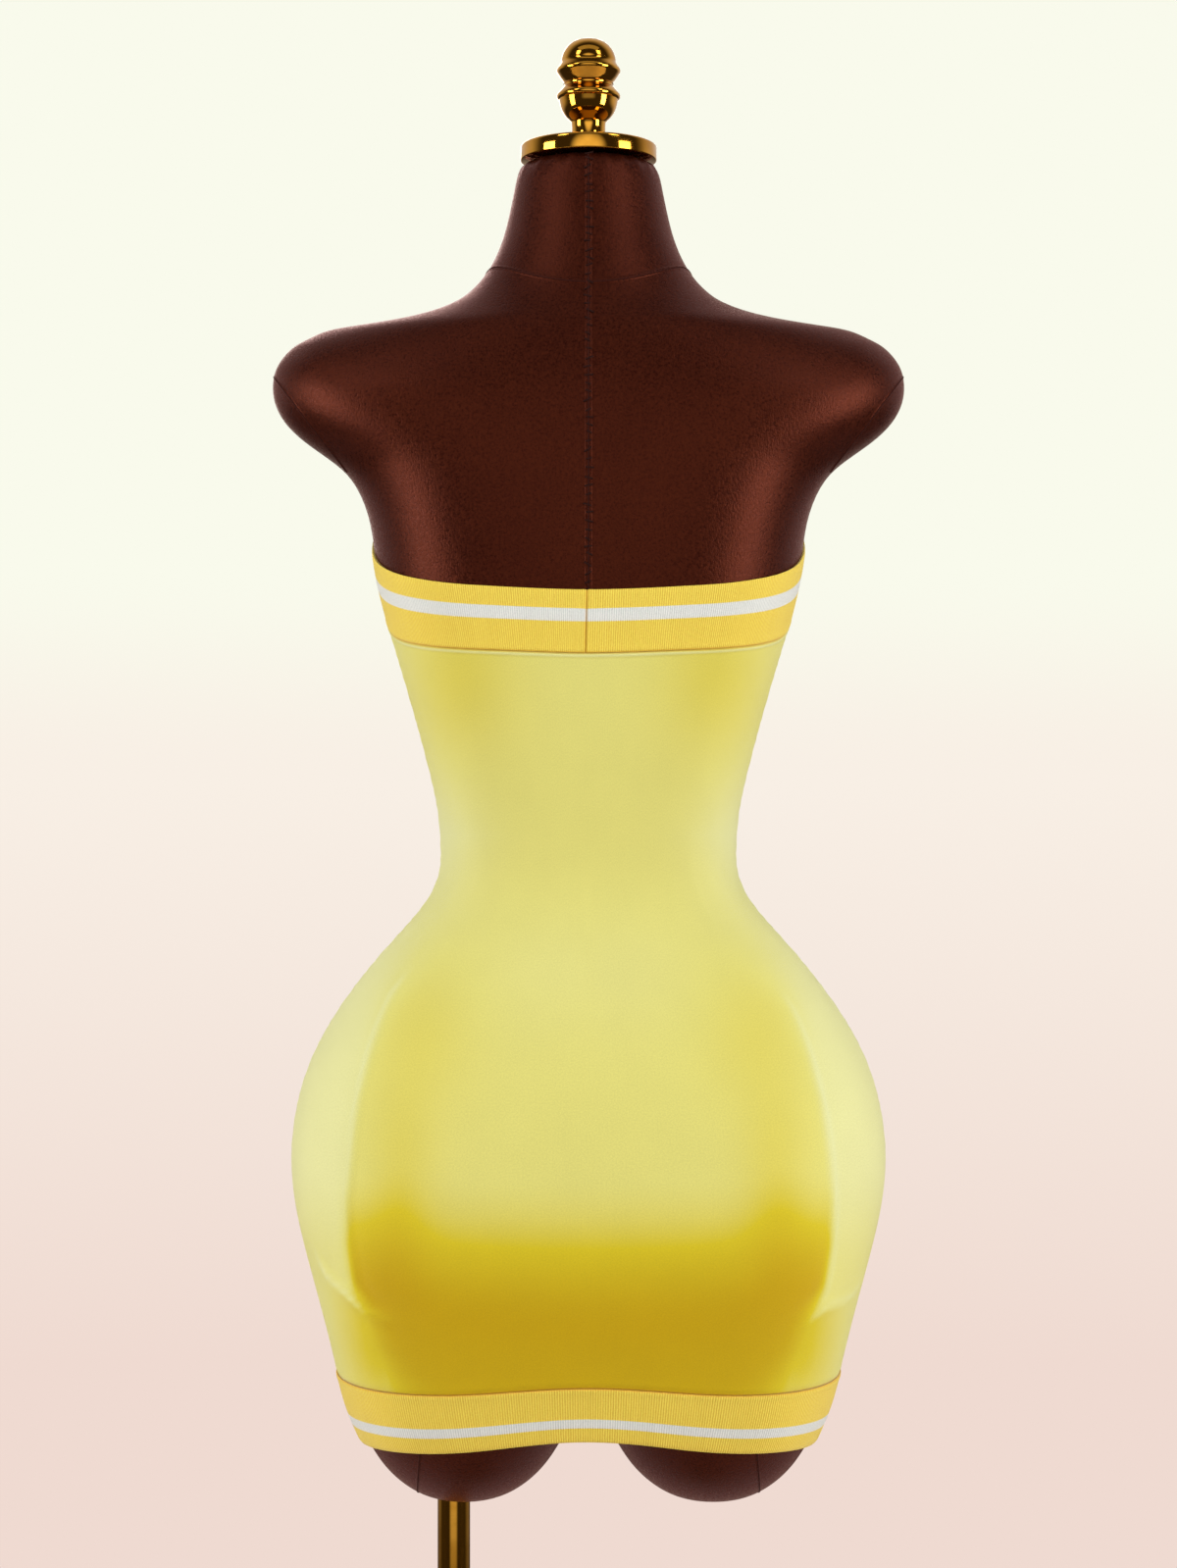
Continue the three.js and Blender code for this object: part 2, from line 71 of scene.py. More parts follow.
class ClothSizes(bpy.types.PropertyGroup):
    """Sizes of the cloth"""

    jersey_thick: bpy.props.FloatProperty(
        name="Jersey thickness", description="Wall of the panels", default=0.0011, unit="LENGTH"
    )
    rib_thick: bpy.props.FloatProperty(
        name="Rib thickness", description="Folded rib of the bands", default=0.0019, unit="LENGTH"
    )
    wale_pitch: bpy.props.FloatProperty(
        name="Wale pitch",
        description="From one jersey wale to the next",
        default=0.00068,
        unit="LENGTH",
    )
    rib_pitch: bpy.props.FloatProperty(
        name="Rib pitch",
        description="From one rib of a band to the next",
        default=0.0017,
        unit="LENGTH",
    )
    band_width: bpy.props.FloatProperty(
        name="Band width",
        description="From a band's seam to its fold",
        default=0.044,
        unit="LENGTH",
    )
    hip_line: bpy.props.FloatProperty(
        name="Hip line height",
        description="Lift of the cloth at the form's hip edge",
        default=0.0009,
        unit="LENGTH",
    )


class Finishes(bpy.types.PropertyGroup):
    """Colours of the finishes, as sRGB hex"""

    jersey: bpy.props.StringProperty(
        name="Jersey", description="Lemon of the knit", default="D6D074"
    )
    # painted light: this milky tone stands for sheen and side light on the outer zones, the hip
    # lines and the rolled edge under the top band
    jersey_painted_light: bpy.props.StringProperty(
        name="Jersey, taut", description="Milky where most stretched", default="D9D99E"
    )
    # painted shade: the warm and the gold tones stand for shade under the seat, at the flanks and
    # where the cloth faces down
    jersey_warm: bpy.props.StringProperty(
        name="Jersey, warm", description="Between lemon and gold", default="CFBC1E"
    )
    jersey_painted_shade: bpy.props.StringProperty(
        name="Jersey, slack", description="Gold where slack", default="BF9D00"
    )
    # painted shade in the fold of a seam
    seam: bpy.props.StringProperty(
        name="Seam", description="In the fold of a seam", default="D09A28"
    )
    rib: bpy.props.StringProperty(name="Rib", description="Warmer yellow rib", default="E8D557")
    # painted shade between the ribs
    rib_deep: bpy.props.StringProperty(
        name="Rib, deep", description="Between the ribs", default="CDA62D"
    )
    stripe: bpy.props.StringProperty(
        name="Stripe", description="Knitted-in white", default="DEDFDA"
    )
    # painted shade between the ribs of the stripe
    stripe_deep: bpy.props.StringProperty(
        name="Stripe, deep", description="White between the ribs", default="BEC1BE"
    )
    satin: bpy.props.StringProperty(name="Satin", description="Brown cover", default="300F09")
    satin_light: bpy.props.StringProperty(
        name="Satin, light", description="Grain of the weave", default="41190D"
    )
    thread: bpy.props.StringProperty(
        name="Thread", description="Stitches of the cover", default="180905"
    )
    brass: bpy.props.StringProperty(name="Brass", description="Polished brass", default="CC9436")
    brass_deep: bpy.props.StringProperty(
        name="Brass, deep", description="Haze in the lacquer", default="B07A24"
    )


class StudioSettings(bpy.types.PropertyGroup):
    """Camera"""

    camera_away: bpy.props.FloatProperty(
        name="Camera distance", description="From the form's middle", default=2.07, unit="LENGTH"
    )
    camera_height: bpy.props.FloatProperty(
        name="Camera height", description="Above the floor", default=1.125, unit="LENGTH"
    )
    lens: bpy.props.FloatProperty(
        name="Lens", description="Focal length on a 36 mm sensor", default=67.54, unit="CAMERA"
    )


def size_mm(name):
    """A cloth size in millimetres"""
    return getattr(bpy.context.scene.dress_sizes, name) / MM


def colour(name):
    """A finish's colour for a shader"""
    return linear(getattr(bpy.context.scene.dress_finishes, name))


# Colours and nodes


def linear(hex_value):
    """An sRGB hex colour as a linear RGBA tuple"""
    parts = [int(hex_value[i : i + 2], 16) / 255 for i in (0, 2, 4)]
    light = [c / 12.92 if c <= 0.04045 else ((c + 0.055) / 1.055) ** 2.4 for c in parts]
    return (*light, 1.0)


# Settings that many nodes share
SMOOTH = {"interpolation_type": "SMOOTHSTEP"}
RGBA = {"data_type": "RGBA"}

# A full turn in radians
TURN = 2 * math.pi


def add_node(tree, kind, inputs=(), **settings):
    """Adds a node with its settings, and fills its sockets, in order or by key, or links them"""
    made = tree.nodes.new(kind)
    for key, value in settings.items():
        setattr(made, key, value)
    for socket, value in inputs.items() if isinstance(inputs, dict) else enumerate(inputs):
        if isinstance(value, bpy.types.NodeSocket):
            tree.links.new(value, made.inputs[socket])
        else:
            made.inputs[socket].default_value = value
    return made


def ramped(tree, value, stops):
    """A colour along a row of stops, each a place and a colour"""
    made = stops[0][1]
    for (low, _), (high, tint) in zip(stops, stops[1:]):
        share = add_node(tree, "ShaderNodeMapRange", (value, low, high)).outputs[0]
        made = add_node(tree, "ShaderNodeMix", {0: share, 6: made, 7: tint}, **RGBA).outputs[2]
    return made


def stretched_noise(tree, place, scales, scale, detail=2.0):
    """Noise drawn out along one of its axes"""
    drawn = add_node(tree, "ShaderNodeMapping", {0: place, 3: scales}).outputs[0]
    return add_node(tree, "ShaderNodeTexNoise", {0: drawn, 2: scale, 3: detail}).outputs[0]


def new_material(name):
    """A material with its tree and its shader"""
    made = bpy.data.materials.new(name)
    made.use_nodes = True
    return made, made.node_tree, made.node_tree.nodes["Principled BSDF"]


def set_shader(tree, shader, base, roughness, specular, sheen=None):
    """Fills the shader's own sockets; sheen is weight, roughness and tint"""
    tree.links.new(base, shader.inputs["Base Color"])
    if isinstance(roughness, bpy.types.NodeSocket):
        tree.links.new(roughness, shader.inputs["Roughness"])
    else:
        shader.inputs["Roughness"].default_value = roughness
    shader.inputs["Specular IOR Level"].default_value = specular
    if sheen:
        shader.inputs["Sheen Weight"].default_value = sheen[0]
        shader.inputs["Sheen Roughness"].default_value = sheen[1]
        shader.inputs["Sheen Tint"].default_value = linear(sheen[2])


def set_bump(tree, shader, height, distance_mm, strength):
    """Bump of a given depth on a shader"""
    sockets = {"Height": height, "Distance": distance_mm * MM, "Strength": strength}
    tree.links.new(add_node(tree, "ShaderNodeBump", sockets).outputs[0], shader.inputs["Normal"])


def cloth_map(tree):
    """The piece's own map, in millimetres on the cloth: the whole, around it, and up it"""
    whole = add_node(tree, "ShaderNodeUVMap", uv_map="cloth").outputs[0]
    parts = add_node(tree, "ShaderNodeSeparateXYZ", (whole,))
    return whole, parts.outputs[0], parts.outputs[1]


# Weight, roughness and tint of the bloom on each cloth
JERSEY_BLOOM = (0.46, 0.34, "FFFEF0")
RIB_BLOOM = (0.35, 0.4, "FFF6DC")
SATIN_BLOOM = (0.02, 0.3, "C07A5C")
SATIN_SHINE = "E0805F"

# How much painted shade the jersey has, from 0, painted pale, to 1, painted gold shade, where it
# takes on each of its tones
JERSEY_TONES = [(0.0, "jersey_painted_light"), (0.3, "jersey"), (0.6, "jersey_warm"), (1.0, "jersey_painted_shade")]

# Parts of a pattern in each metre. The satin's yarns, about 0.1 mm, and a thread's twist are too
# fine to show, so the grain is drawn about 2 mm wide, and the weave and the twist just under 1 mm
SATIN_GRAIN = 560.0
SATIN_WEAVE = 1100.0
SATIN_CLOUD = 16.0
THREAD_TWIST = 1500.0
BRASS_HAZE = 38.0
BRASS_MARKS = 900.0
FLOOR_SPECK = 60.0

# Where a band's white stripe lies, as shares of its width from its lower edge
TOP_STRIPE = (0.495, 0.697)
HEM_STRIPE = (0.285, 0.445)


def jersey_material():
    """Fine plain-knit viscose jersey with elastane: rows of V-shaped stitches, a soft pale bloom"""
    material, tree, shader = new_material("viscose_jersey_plain_knit")
    whole, across, along = cloth_map(tree)
    pitch = size_mm("wale_pitch")
    wales = add_node(tree, "ShaderNodeMath", (across, pitch), operation="DIVIDE").outputs[0]
    wale = add_node(tree, "ShaderNodeMath", (wales,), operation="FRACT").outputs[0]
    off_middle = add_node(tree, "ShaderNodeMath", (wale, 0.5), operation="SUBTRACT").outputs[0]
    lean = add_node(tree, "ShaderNodeMath", (off_middle,), operation="ABSOLUTE").outputs[0]
    turn = add_node(tree, "ShaderNodeMath", (lean, TURN), operation="MULTIPLY").outputs[0]
    across_wale = add_node(tree, "ShaderNodeMath", (turn,), operation="COSINE").outputs[0]
    rise = add_node(tree, "ShaderNodeMath", (across_wale, -0.5), operation="MULTIPLY").outputs[0]
    # a row of loops is four fifths as tall as a wale is wide
    courses = add_node(tree, "ShaderNodeMath", (along, pitch * 0.8), operation="DIVIDE").outputs[0]
    course = add_node(tree, "ShaderNodeMath", (courses, lean), operation="ADD").outputs[0]
    turn = add_node(tree, "ShaderNodeMath", (course, TURN), operation="MULTIPLY").outputs[0]
    up_course = add_node(tree, "ShaderNodeMath", (turn,), operation="SINE").outputs[0]
    loop = add_node(tree, "ShaderNodeMath", (up_course, 0.2), operation="MULTIPLY").outputs[0]
    stitch = add_node(tree, "ShaderNodeMath", (rise, loop), operation="ADD").outputs[0]
    # a yarn a little thicker or thinner runs the length of some wales
    streak = stretched_noise(tree, whole, (0.7, 0.02, 1.0), 1.0, 3.0)
    cloud = stretched_noise(tree, whole, (0.02, 0.02, 1.0), 1.0)
    fuzz = add_node(tree, "ShaderNodeTexNoise", {0: whole, 2: 0.9, 3: 3.0, 4: 0.7}).outputs[0]
    # painted light and shade: the knit is painted milky where sheen and side light fall, and
    # painted gold in the shade under the seat
    slack = add_node(tree, "ShaderNodeAttribute", attribute_name="slack").outputs["Fac"]
    knit = ramped(tree, slack, [(share, colour(name)) for share, name in JERSEY_TONES])
    # a painted highlight on the rolled edge under the top band, 1 to 3 mm down
    rims = add_node(tree, "ShaderNodeUVMap", uv_map="rims").outputs[0]
    from_top = add_node(tree, "ShaderNodeSeparateXYZ", (rims,)).outputs[1]
    onto = add_node(tree, "ShaderNodeMapRange", (from_top, 0.8, 1.4), **SMOOTH).outputs[0]
    past = add_node(tree, "ShaderNodeMapRange", (from_top, 2.2, 3.4), **SMOOTH).outputs[0]
    ridge = add_node(tree, "ShaderNodeMath", (onto, past), operation="SUBTRACT").outputs[0]
    paler = add_node(tree, "ShaderNodeMath", (ridge, 0.55), operation="MULTIPLY").outputs[0]
    ridge_highlight = {0: paler, 6: knit, 7: colour("jersey_painted_light")}
    yellow = add_node(tree, "ShaderNodeMix", ridge_highlight, **RGBA).outputs[2]
    # painted shade in the folds of the top and the hem seam
    to_seam = add_node(tree, "ShaderNodeMath", (from_top, along), operation="MINIMUM").outputs[0]
    near = (to_seam, 0.3, 1.1, 0.6, 0.0)
    seam_shade = add_node(tree, "ShaderNodeMapRange", near, **SMOOTH).outputs[0]
    shaded_seam = {0: seam_shade, 6: yellow, 7: colour("seam")}
    yellow = add_node(tree, "ShaderNodeMix", shaded_seam, **RGBA).outputs[2]
    # cloudy dye and the shade between the loops
    faint = add_node(tree, "ShaderNodeMath", (cloud, 0.15), operation="MULTIPLY").outputs[0]
    unlike = add_node(tree, "ShaderNodeMath", (fuzz, 0.85, faint), operation="MULTIPLY_ADD")
    uneven = (unlike.outputs[0], 0.3, 0.7, 0.93, 1.07)
    dyed = add_node(tree, "ShaderNodeMapRange", uneven, **SMOOTH).outputs[0]
    thicker = add_node(tree, "ShaderNodeMath", (streak, 0.5), operation="SUBTRACT").outputs[0]
    loops = add_node(tree, "ShaderNodeMath", (thicker, 0.5, stitch), operation="MULTIPLY_ADD")
    between = (loops.outputs[0], -0.7, 0.7, 0.93, 1.0)
    shaded = add_node(tree, "ShaderNodeMapRange", between, **SMOOTH).outputs[0]
    value = add_node(tree, "ShaderNodeMath", (dyed, shaded), operation="MULTIPLY").outputs[0]
    mottled = add_node(tree, "ShaderNodeHueSaturation", {"Value": value, "Color": yellow})
    set_shader(tree, shader, mottled.outputs[0], 0.65, 0.15, JERSEY_BLOOM)
    yarn = add_node(tree, "ShaderNodeMath", (streak, 0.6), operation="MULTIPLY").outputs[0]
    fibre = add_node(tree, "ShaderNodeMath", (fuzz, 1.2), operation="MULTIPLY").outputs[0]
    rough = add_node(tree, "ShaderNodeMath", (yarn, fibre), operation="ADD").outputs[0]
    height = add_node(tree, "ShaderNodeMath", (stitch, rough), operation="ADD").outputs[0]
    set_bump(tree, shader, height, 0.16, 0.55)
    return material


def rib_material(name, stripe_from, stripe_to, seam_at):
    """Double rib of the same yarn, a white stripe knitted in: fine upright ribs, a firmer hand"""
    material, tree, shader = new_material(name)
    whole, across, along = cloth_map(tree)
    pitch = size_mm("rib_pitch")
    ribs = add_node(tree, "ShaderNodeMath", (across, pitch), operation="DIVIDE").outputs[0]
    turn = add_node(tree, "ShaderNodeMath", (ribs, TURN), operation="MULTIPLY").outputs[0]
    wave = add_node(tree, "ShaderNodeMath", (turn,), operation="SINE").outputs[0]
    rib = add_node(tree, "ShaderNodeMath", (wave, 0.5, 0.5), operation="MULTIPLY_ADD").outputs[0]
    crumb = add_node(tree, "ShaderNodeTexNoise", {0: whole, 2: 0.8, 3: 3.0}).outputs[0]
    streak = stretched_noise(tree, whole, (0.6, 0.03, 1.0), 1.0)
    fibre = add_node(tree, "ShaderNodeMath", (crumb, 1.1), operation="MULTIPLY").outputs[0]
    yarn = add_node(tree, "ShaderNodeMath", (streak, 0.4), operation="MULTIPLY").outputs[0]
    uneven = add_node(tree, "ShaderNodeMath", (fibre, yarn), operation="ADD").outputs[0]
    # the stripe's edges step with the ribs
    edge = add_node(tree, "ShaderNodeMath", (rib, 0.4, along), operation="MULTIPLY_ADD").outputs[0]
    onto, past = (
        add_node(tree, "ShaderNodeMapRange", (edge, at - 0.1, at + 0.5), **SMOOTH).outputs[0]
        for at in (stripe_from, stripe_to)
    )
    inside = add_node(tree, "ShaderNodeMath", (onto, past), operation="SUBTRACT").outputs[0]
    # painted shade between the ribs
    tall = add_node(tree, "ShaderNodeMath", (rib, 0.8), operation="MULTIPLY").outputs[0]
    height = add_node(tree, "ShaderNodeMath", (uneven, 0.7, tall), operation="MULTIPLY_ADD")
    raised = (height.outputs[0], 0.35, 1.5)
    depth = add_node(tree, "ShaderNodeMapRange", raised, **SMOOTH).outputs[0]
    yellow, white = (
        add_node(
            tree, "ShaderNodeMix", {0: depth, 6: colour(f"{word}_deep"), 7: colour(word)}, **RGBA
        ).outputs[2]
        for word in ("rib", "stripe")
    )
    # and painted shade in the folds of its seam and of its own join
    past_seam = add_node(tree, "ShaderNodeMath", (along, seam_at), operation="SUBTRACT").outputs[0]
    off_seam = add_node(tree, "ShaderNodeMath", (past_seam,), operation="ABSOLUTE").outputs[0]
    near_seam = (off_seam, 0.4, 1.4, 0.6, 0.0)
    seam_shade = add_node(tree, "ShaderNodeMapRange", near_seam, **SMOOTH).outputs[0]
    rims = add_node(tree, "ShaderNodeUVMap", uv_map="rims").outputs[0]
    off_join = add_node(tree, "ShaderNodeSeparateXYZ", (rims,)).outputs[0]
    near_join = (off_join, 0.2, 1.2, 0.45, 0.0)
    join_shade = add_node(tree, "ShaderNodeMapRange", near_join, **SMOOTH).outputs[0]
    shaded_seam = {0: seam_shade, 6: yellow, 7: colour("seam")}
    yellow = add_node(tree, "ShaderNodeMix", shaded_seam, **RGBA).outputs[2]
    knit = add_node(tree, "ShaderNodeMix", {0: inside, 6: yellow, 7: white}, **RGBA).outputs[2]
    shaded_join = {0: join_shade, 6: knit, 7: colour("seam")}
    knit = add_node(tree, "ShaderNodeMix", shaded_join, **RGBA).outputs[2]
    set_shader(tree, shader, knit, 0.75, 0.3, RIB_BLOOM)
    height = add_node(tree, "ShaderNodeMath", (rib, uneven), operation="ADD").outputs[0]
    set_bump(tree, shader, height, 0.4, 0.6)
    return material


def satin_material():
    """Stretch satin, weft-faced: dark between the lights, a grainy broken shine towards them"""
    material, tree, shader = new_material("stretch_satin_woven")
    place = add_node(tree, "ShaderNodeTexCoord").outputs["Object"]
    coarse = {0: place, 2: SATIN_GRAIN, 3: 4.0, 4: 0.7}
    grain = add_node(tree, "ShaderNodeTexNoise", coarse).outputs[0]
    weave = stretched_noise(tree, place, (1.0, 1.0, 0.3), SATIN_WEAVE, 1.0)
    cloud = add_node(tree, "ShaderNodeTexNoise", {0: place, 2: SATIN_CLOUD, 3: 3.0}).outputs[0]
    faint = add_node(tree, "ShaderNodeMath", (cloud, 0.15), operation="MULTIPLY").outputs[0]
    share = add_node(tree, "ShaderNodeMath", (grain, 0.85, faint), operation="MULTIPLY_ADD")
    worn = (share.outputs[0], 0.36, 0.66)
    lighter = add_node(tree, "ShaderNodeMapRange", worn, **SMOOTH).outputs[0]
    browns = {0: lighter, 6: colour("satin"), 7: colour("satin_light")}
    brown = add_node(tree, "ShaderNodeMix", browns, **RGBA).outputs[2]
    duller = (grain, 0.3, 0.7, 0.23, 0.45)
    roughness = add_node(tree, "ShaderNodeMapRange", duller, **SMOOTH).outputs[0]
    set_shader(tree, shader, brown, roughness, 0.5, SATIN_BLOOM)
    shader.inputs["Specular Tint"].default_value = linear(SATIN_SHINE)
    shader.inputs["Metallic"].default_value = 0.5
    woven = add_node(tree, "ShaderNodeMath", (weave, 0.5), operation="MULTIPLY").outputs[0]
    height = add_node(tree, "ShaderNodeMath", (grain, woven), operation="ADD").outputs[0]
    set_bump(tree, shader, height, 0.37, 0.8)
    return material


def thread_material(name, tint):
    """Spun polyester sewing thread: twisted, with a dry shine"""
    material, tree, shader = new_material(name)
    place = add_node(tree, "ShaderNodeTexCoord").outputs["Object"]
    twist = add_node(tree, "ShaderNodeTexNoise", {0: place, 2: THREAD_TWIST, 3: 1.0}).outputs[0]
    share = add_node(tree, "ShaderNodeMapRange", (twist, 0.3, 0.7), **SMOOTH).outputs[0]
    tones = {0: share, 6: colour("satin"), 7: colour(tint)}
    shade = add_node(tree, "ShaderNodeMix", tones, **RGBA).outputs[2]
    set_shader(tree, shader, shade, 0.8, 0.12)
    set_bump(tree, shader, twist, 0.15, 0.5)
    return material


def brass_material():
    """Lacquered brass, turned and polished: deep gold with faint turning marks and thin haze"""
    material, tree, shader = new_material("lacquered_brass_polished")
    place = add_node(tree, "ShaderNodeTexCoord").outputs["Object"]
    clouded = {0: place, 2: BRASS_HAZE, 3: 4.0, 4: 0.6}
    haze = add_node(tree, "ShaderNodeTexNoise", clouded).outputs[0]
    marks = stretched_noise(tree, place, (0.02, 0.02, 1.0), BRASS_MARKS, 1.0)
    deeper = add_node(tree, "ShaderNodeMapRange", (haze, 0.3, 0.75), **SMOOTH).outputs[0]
    golds = {0: deeper, 6: colour("brass"), 7: colour("brass_deep")}
    gold = add_node(tree, "ShaderNodeMix", golds, **RGBA).outputs[2]
    duller = (haze, 0.35, 0.8, 0.05, 0.13)
    roughness = add_node(tree, "ShaderNodeMapRange", duller, **SMOOTH).outputs[0]
    set_shader(tree, shader, gold, roughness, 0.5)
    shader.inputs["Metallic"].default_value = 1.0
    set_bump(tree, shader, marks, 0.02, 0.2)
    return material


def floor_material():
    """Matt painted floor: an even pinkish grey with fine specks"""
    material, tree, shader = new_material("painted_floor_matt")
    place = add_node(tree, "ShaderNodeTexCoord").outputs["Object"]
    speck = add_node(tree, "ShaderNodeTexNoise", {0: place, 2: FLOOR_SPECK, 3: 3.0}).outputs[0]
    share = add_node(tree, "ShaderNodeMapRange", (speck, 0.3, 0.7), **SMOOTH).outputs[0]
    greys = {0: share, 6: linear("CFC1BB"), 7: linear("D6C9C3")}
    tone = add_node(tree, "ShaderNodeMix", greys, **RGBA).outputs[2]
    set_shader(tree, shader, tone, 0.8, 0.3)
    return material


# Meshes


def take_form(node_name):
    """A merged copy of a CAD node's mesh"""
    bm = bmesh.new()
    bm.from_mesh(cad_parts[node_name].data)
    bmesh.ops.remove_doubles(bm, verts=bm.verts, dist=1e-5)
    return bm


def make_quads(bm):
    """Joins the triangles of a mesh to the four-sided faces they came from"""
    bmesh.ops.join_triangles(
        bm,
        faces=bm.faces,
        angle_face_threshold=math.radians(60),
        angle_shape_threshold=math.pi,
        topology_influence=1.0,
    )


def connected_parts(bm):
    """The faces of a mesh in groups that hang together"""
    left, parts = set(bm.faces), []
    while left:
        stack = [left.pop()]
        part = []
        while stack:
            face = stack.pop()
            part.append(face)
            for edge in face.edges:
                for other in edge.link_faces:
                    if other in left:
                        left.discard(other)
                        stack.append(other)
        parts.append(part)
    return parts


def outer_sheet(node_name):
    """The face of a cloth wall that looks away from the body, as a grid of four-sided faces"""
    bm = take_form(node_name)
    sharp = [e for e in bm.edges if e.calc_face_angle(0) > math.radians(45)]
    bmesh.ops.split_edges(bm, edges=sharp)

    def faces_out(part):
        middles = ((f.normal, f.calc_center_median()) for f in part)
        return sum(normal.dot(Vector((m.x, m.y, 0)).normalized()) for normal, m in middles)

    walls = sorted(connected_parts(bm), key=lambda part: sum(f.calc_area() for f in part))[-2:]
    keep = set(max(walls, key=faces_out))
    bmesh.ops.delete(bm, geom=[f for f in bm.faces if f not in keep], context="FACES")
    make_quads(bm)
    return bm


# How close in height two corners are alike, in metres
SAME_HEIGHT = 1e-5


def rim_edges(v):
    """The edges of the rim at a point, the most level one first"""
    return sorted(
        (e for e in v.link_edges if e.is_boundary),
        key=lambda e: abs(e.verts[0].co.z - e.verts[1].co.z) / e.calc_length(),
    )


def runs_anticlockwise(v):
    """Whether the most level edge of the rim leads from a point anticlockwise about the body"""
    onward = rim_edges(v)[0].other_vert(v)
    return v.co.x * onward.co.y > v.co.y * onward.co.x


def grid_rows(bm):
    """The points of a sheet's grid, row by row from its lowest edge, and whether it is a ring"""
    rims = {v for v in bm.verts if v.is_boundary}
    corners = {v for v in rims if len(v.link_edges) == 2}
    limit = min(v.co.z for v in corners or rims) + SAME_HEIGHT
    lowest = [v for v in corners or rims if v.co.z < limit and runs_anticlockwise(v)]
    start = min(lowest, key=lambda v: (v.co.z, v.co.x, v.co.y))
    row = [start, rim_edges(start)[0].other_vert(start)]
    while row[-1] not in corners:
        onward = [e.other_vert(row[-1]) for e in row[-1].link_edges if e.is_boundary]
        following = next(v for v in onward if v is not row[-2])
        if following is start:
            break
        row.append(following)
    rows, seen = [row], set(row)
    while True:
        above = []
        for v in rows[-1]:
            fresh = [e.other_vert(v) for e in v.link_edges if e.other_vert(v) not in seen]
            if len(fresh) != 1:
                return rows, not corners
            above.append(fresh[0])
        rows.append(above)
        seen.update(above)


# What the map gives as the way to the side of a ring, which has none, in millimetres
NO_SIDE = 999.0


def lay_out_maps(bm, girth_pitch=None, full_height=None):
    """Lays two maps in millimetres: around and up the cloth, and in from its side and its top"""
    rows, is_ring = grid_rows(bm)
    pairs = [list(zip(row, row[1:] + (row[:1] if is_ring else []))) for row in rows]
    width = max(sum((b.co - a.co).length for a, b in row) for row in pairs) / MM
    if girth_pitch:
        width = round(width / girth_pitch) * girth_pitch
    step = width / len(pairs[0])
    place = {}
    for i in range(len(rows[0])):
        ups = [0.0]
        for low, high in zip(rows, rows[1:]):
            ups.append(ups[-1] + (high[i].co - low[i].co).length / MM)
        scale = full_height / ups[-1] if full_height else 1.0
        for row, up in zip(rows, ups):
            place[row[i]] = (i * step, up * scale, (ups[-1] - up) * scale)
    cloth = bm.loops.layers.uv.new("cloth")
    rims = bm.loops.layers.uv.new("rims")
    for face in bm.faces:
        spots = [place[loop.vert] for loop in face.loops]
        wraps = max(s[0] for s in spots) - min(s[0] for s in spots) > width / 2
        for loop, (across, up, down) in zip(face.loops, spots):
            if wraps and across < width / 2:
                across += width
            loop[cloth].uv = (across, up)
            loop[rims].uv = (NO_SIDE if is_ring else min(across, width - across), down)


def finished(name, bm, material):
    """Makes an object of a bmesh, at the origin, with its material"""
    mesh = bpy.data.meshes.new(name)
    bm.to_mesh(mesh)
    bm.free()
    made = bpy.data.objects.new(name, mesh)
    bpy.context.scene.collection.objects.link(made)
    mesh.materials.clear()
    mesh.materials.append(material)
    mesh.polygons.foreach_set("use_smooth", [True] * len(mesh.polygons))
    return made


def add_modifier(made, kind, **settings):
    """Adds a modifier with its settings"""
    modifier = made.modifiers.new(kind.title(), kind)
    for key, value in settings.items():
        setattr(modifier, key, value)


def apply_modifiers(made):
    """Replaces an object's mesh by what its modifiers make of it"""
    graph = bpy.context.evaluated_depsgraph_get()
    baked = bpy.data.meshes.new_from_object(made.evaluated_get(graph))
    old = made.data
    made.modifiers.clear()
    made.data = baked
    baked.name = old.name
    bpy.data.meshes.remove(old)
    return made


def soften(made, levels):
    """Rounds an object's mesh by subdivision and keeps its corners"""
    add_modifier(
        made, "SUBSURF", levels=levels, render_levels=levels, boundary_smooth="PRESERVE_CORNERS"
    )
    return apply_modifiers(made)


def surface_of(made):
    """A tree of an object's faces, for finding places on it"""
    return BVHTree.FromObject(made, bpy.context.evaluated_depsgraph_get())


def refine_near(bm, layer_name, axis, reach, cuts):
    """Adds rows of points near an edge of the cloth, where one of its maps is below a reach"""
    layer = bm.loops.layers.uv[layer_name]

    def value(v):
        return v.link_loops[0][layer].uv[axis]

    edges = []
    for edge in bm.edges:
        low, high = sorted(value(v) for v in edge.verts)
        runs_inward = high - low > 0.5 * edge.calc_length() / MM
        if high < reach and runs_inward:
            edges.append(edge)
    bmesh.ops.subdivide_edges(bm, edges=edges, cuts=cuts, use_grid_fill=True)


def shaped(made, lift, refine=(), rim_tuck=None):
    """Moves each point of a cloth along its normal by lift(place, maps) millimetres.

    rim_tuck(maps) says how far a point of a rim is carried on under the piece that it is sewn to.
    """
    bm = bmesh.new()
    bm.from_mesh(made.data)
    for layer_name, axis, reach, cuts in refine:
        refine_near(bm, layer_name, axis, reach, cuts)
    bm.normal_update()
    cloth, rims = bm.loops.layers.uv["cloth"], bm.loops.layers.uv["rims"]
    onward = {}
    for v in bm.verts:
        loop = v.link_loops[0]
        maps = (*loop[cloth].uv, *loop[rims].uv)
        move = v.normal * lift(v.co, *maps)
        if rim_tuck and v.is_boundary:
            inner = [e.other_vert(v) for e in v.link_edges if not e.is_boundary]
            if inner:
                move += (v.co - inner[0].co).normalized() * rim_tuck(*maps)
        onward[v] = move * MM
    for v, move in onward.items():
        v.co += move
    bm.to_mesh(made.data)
    bm.free()
    return made


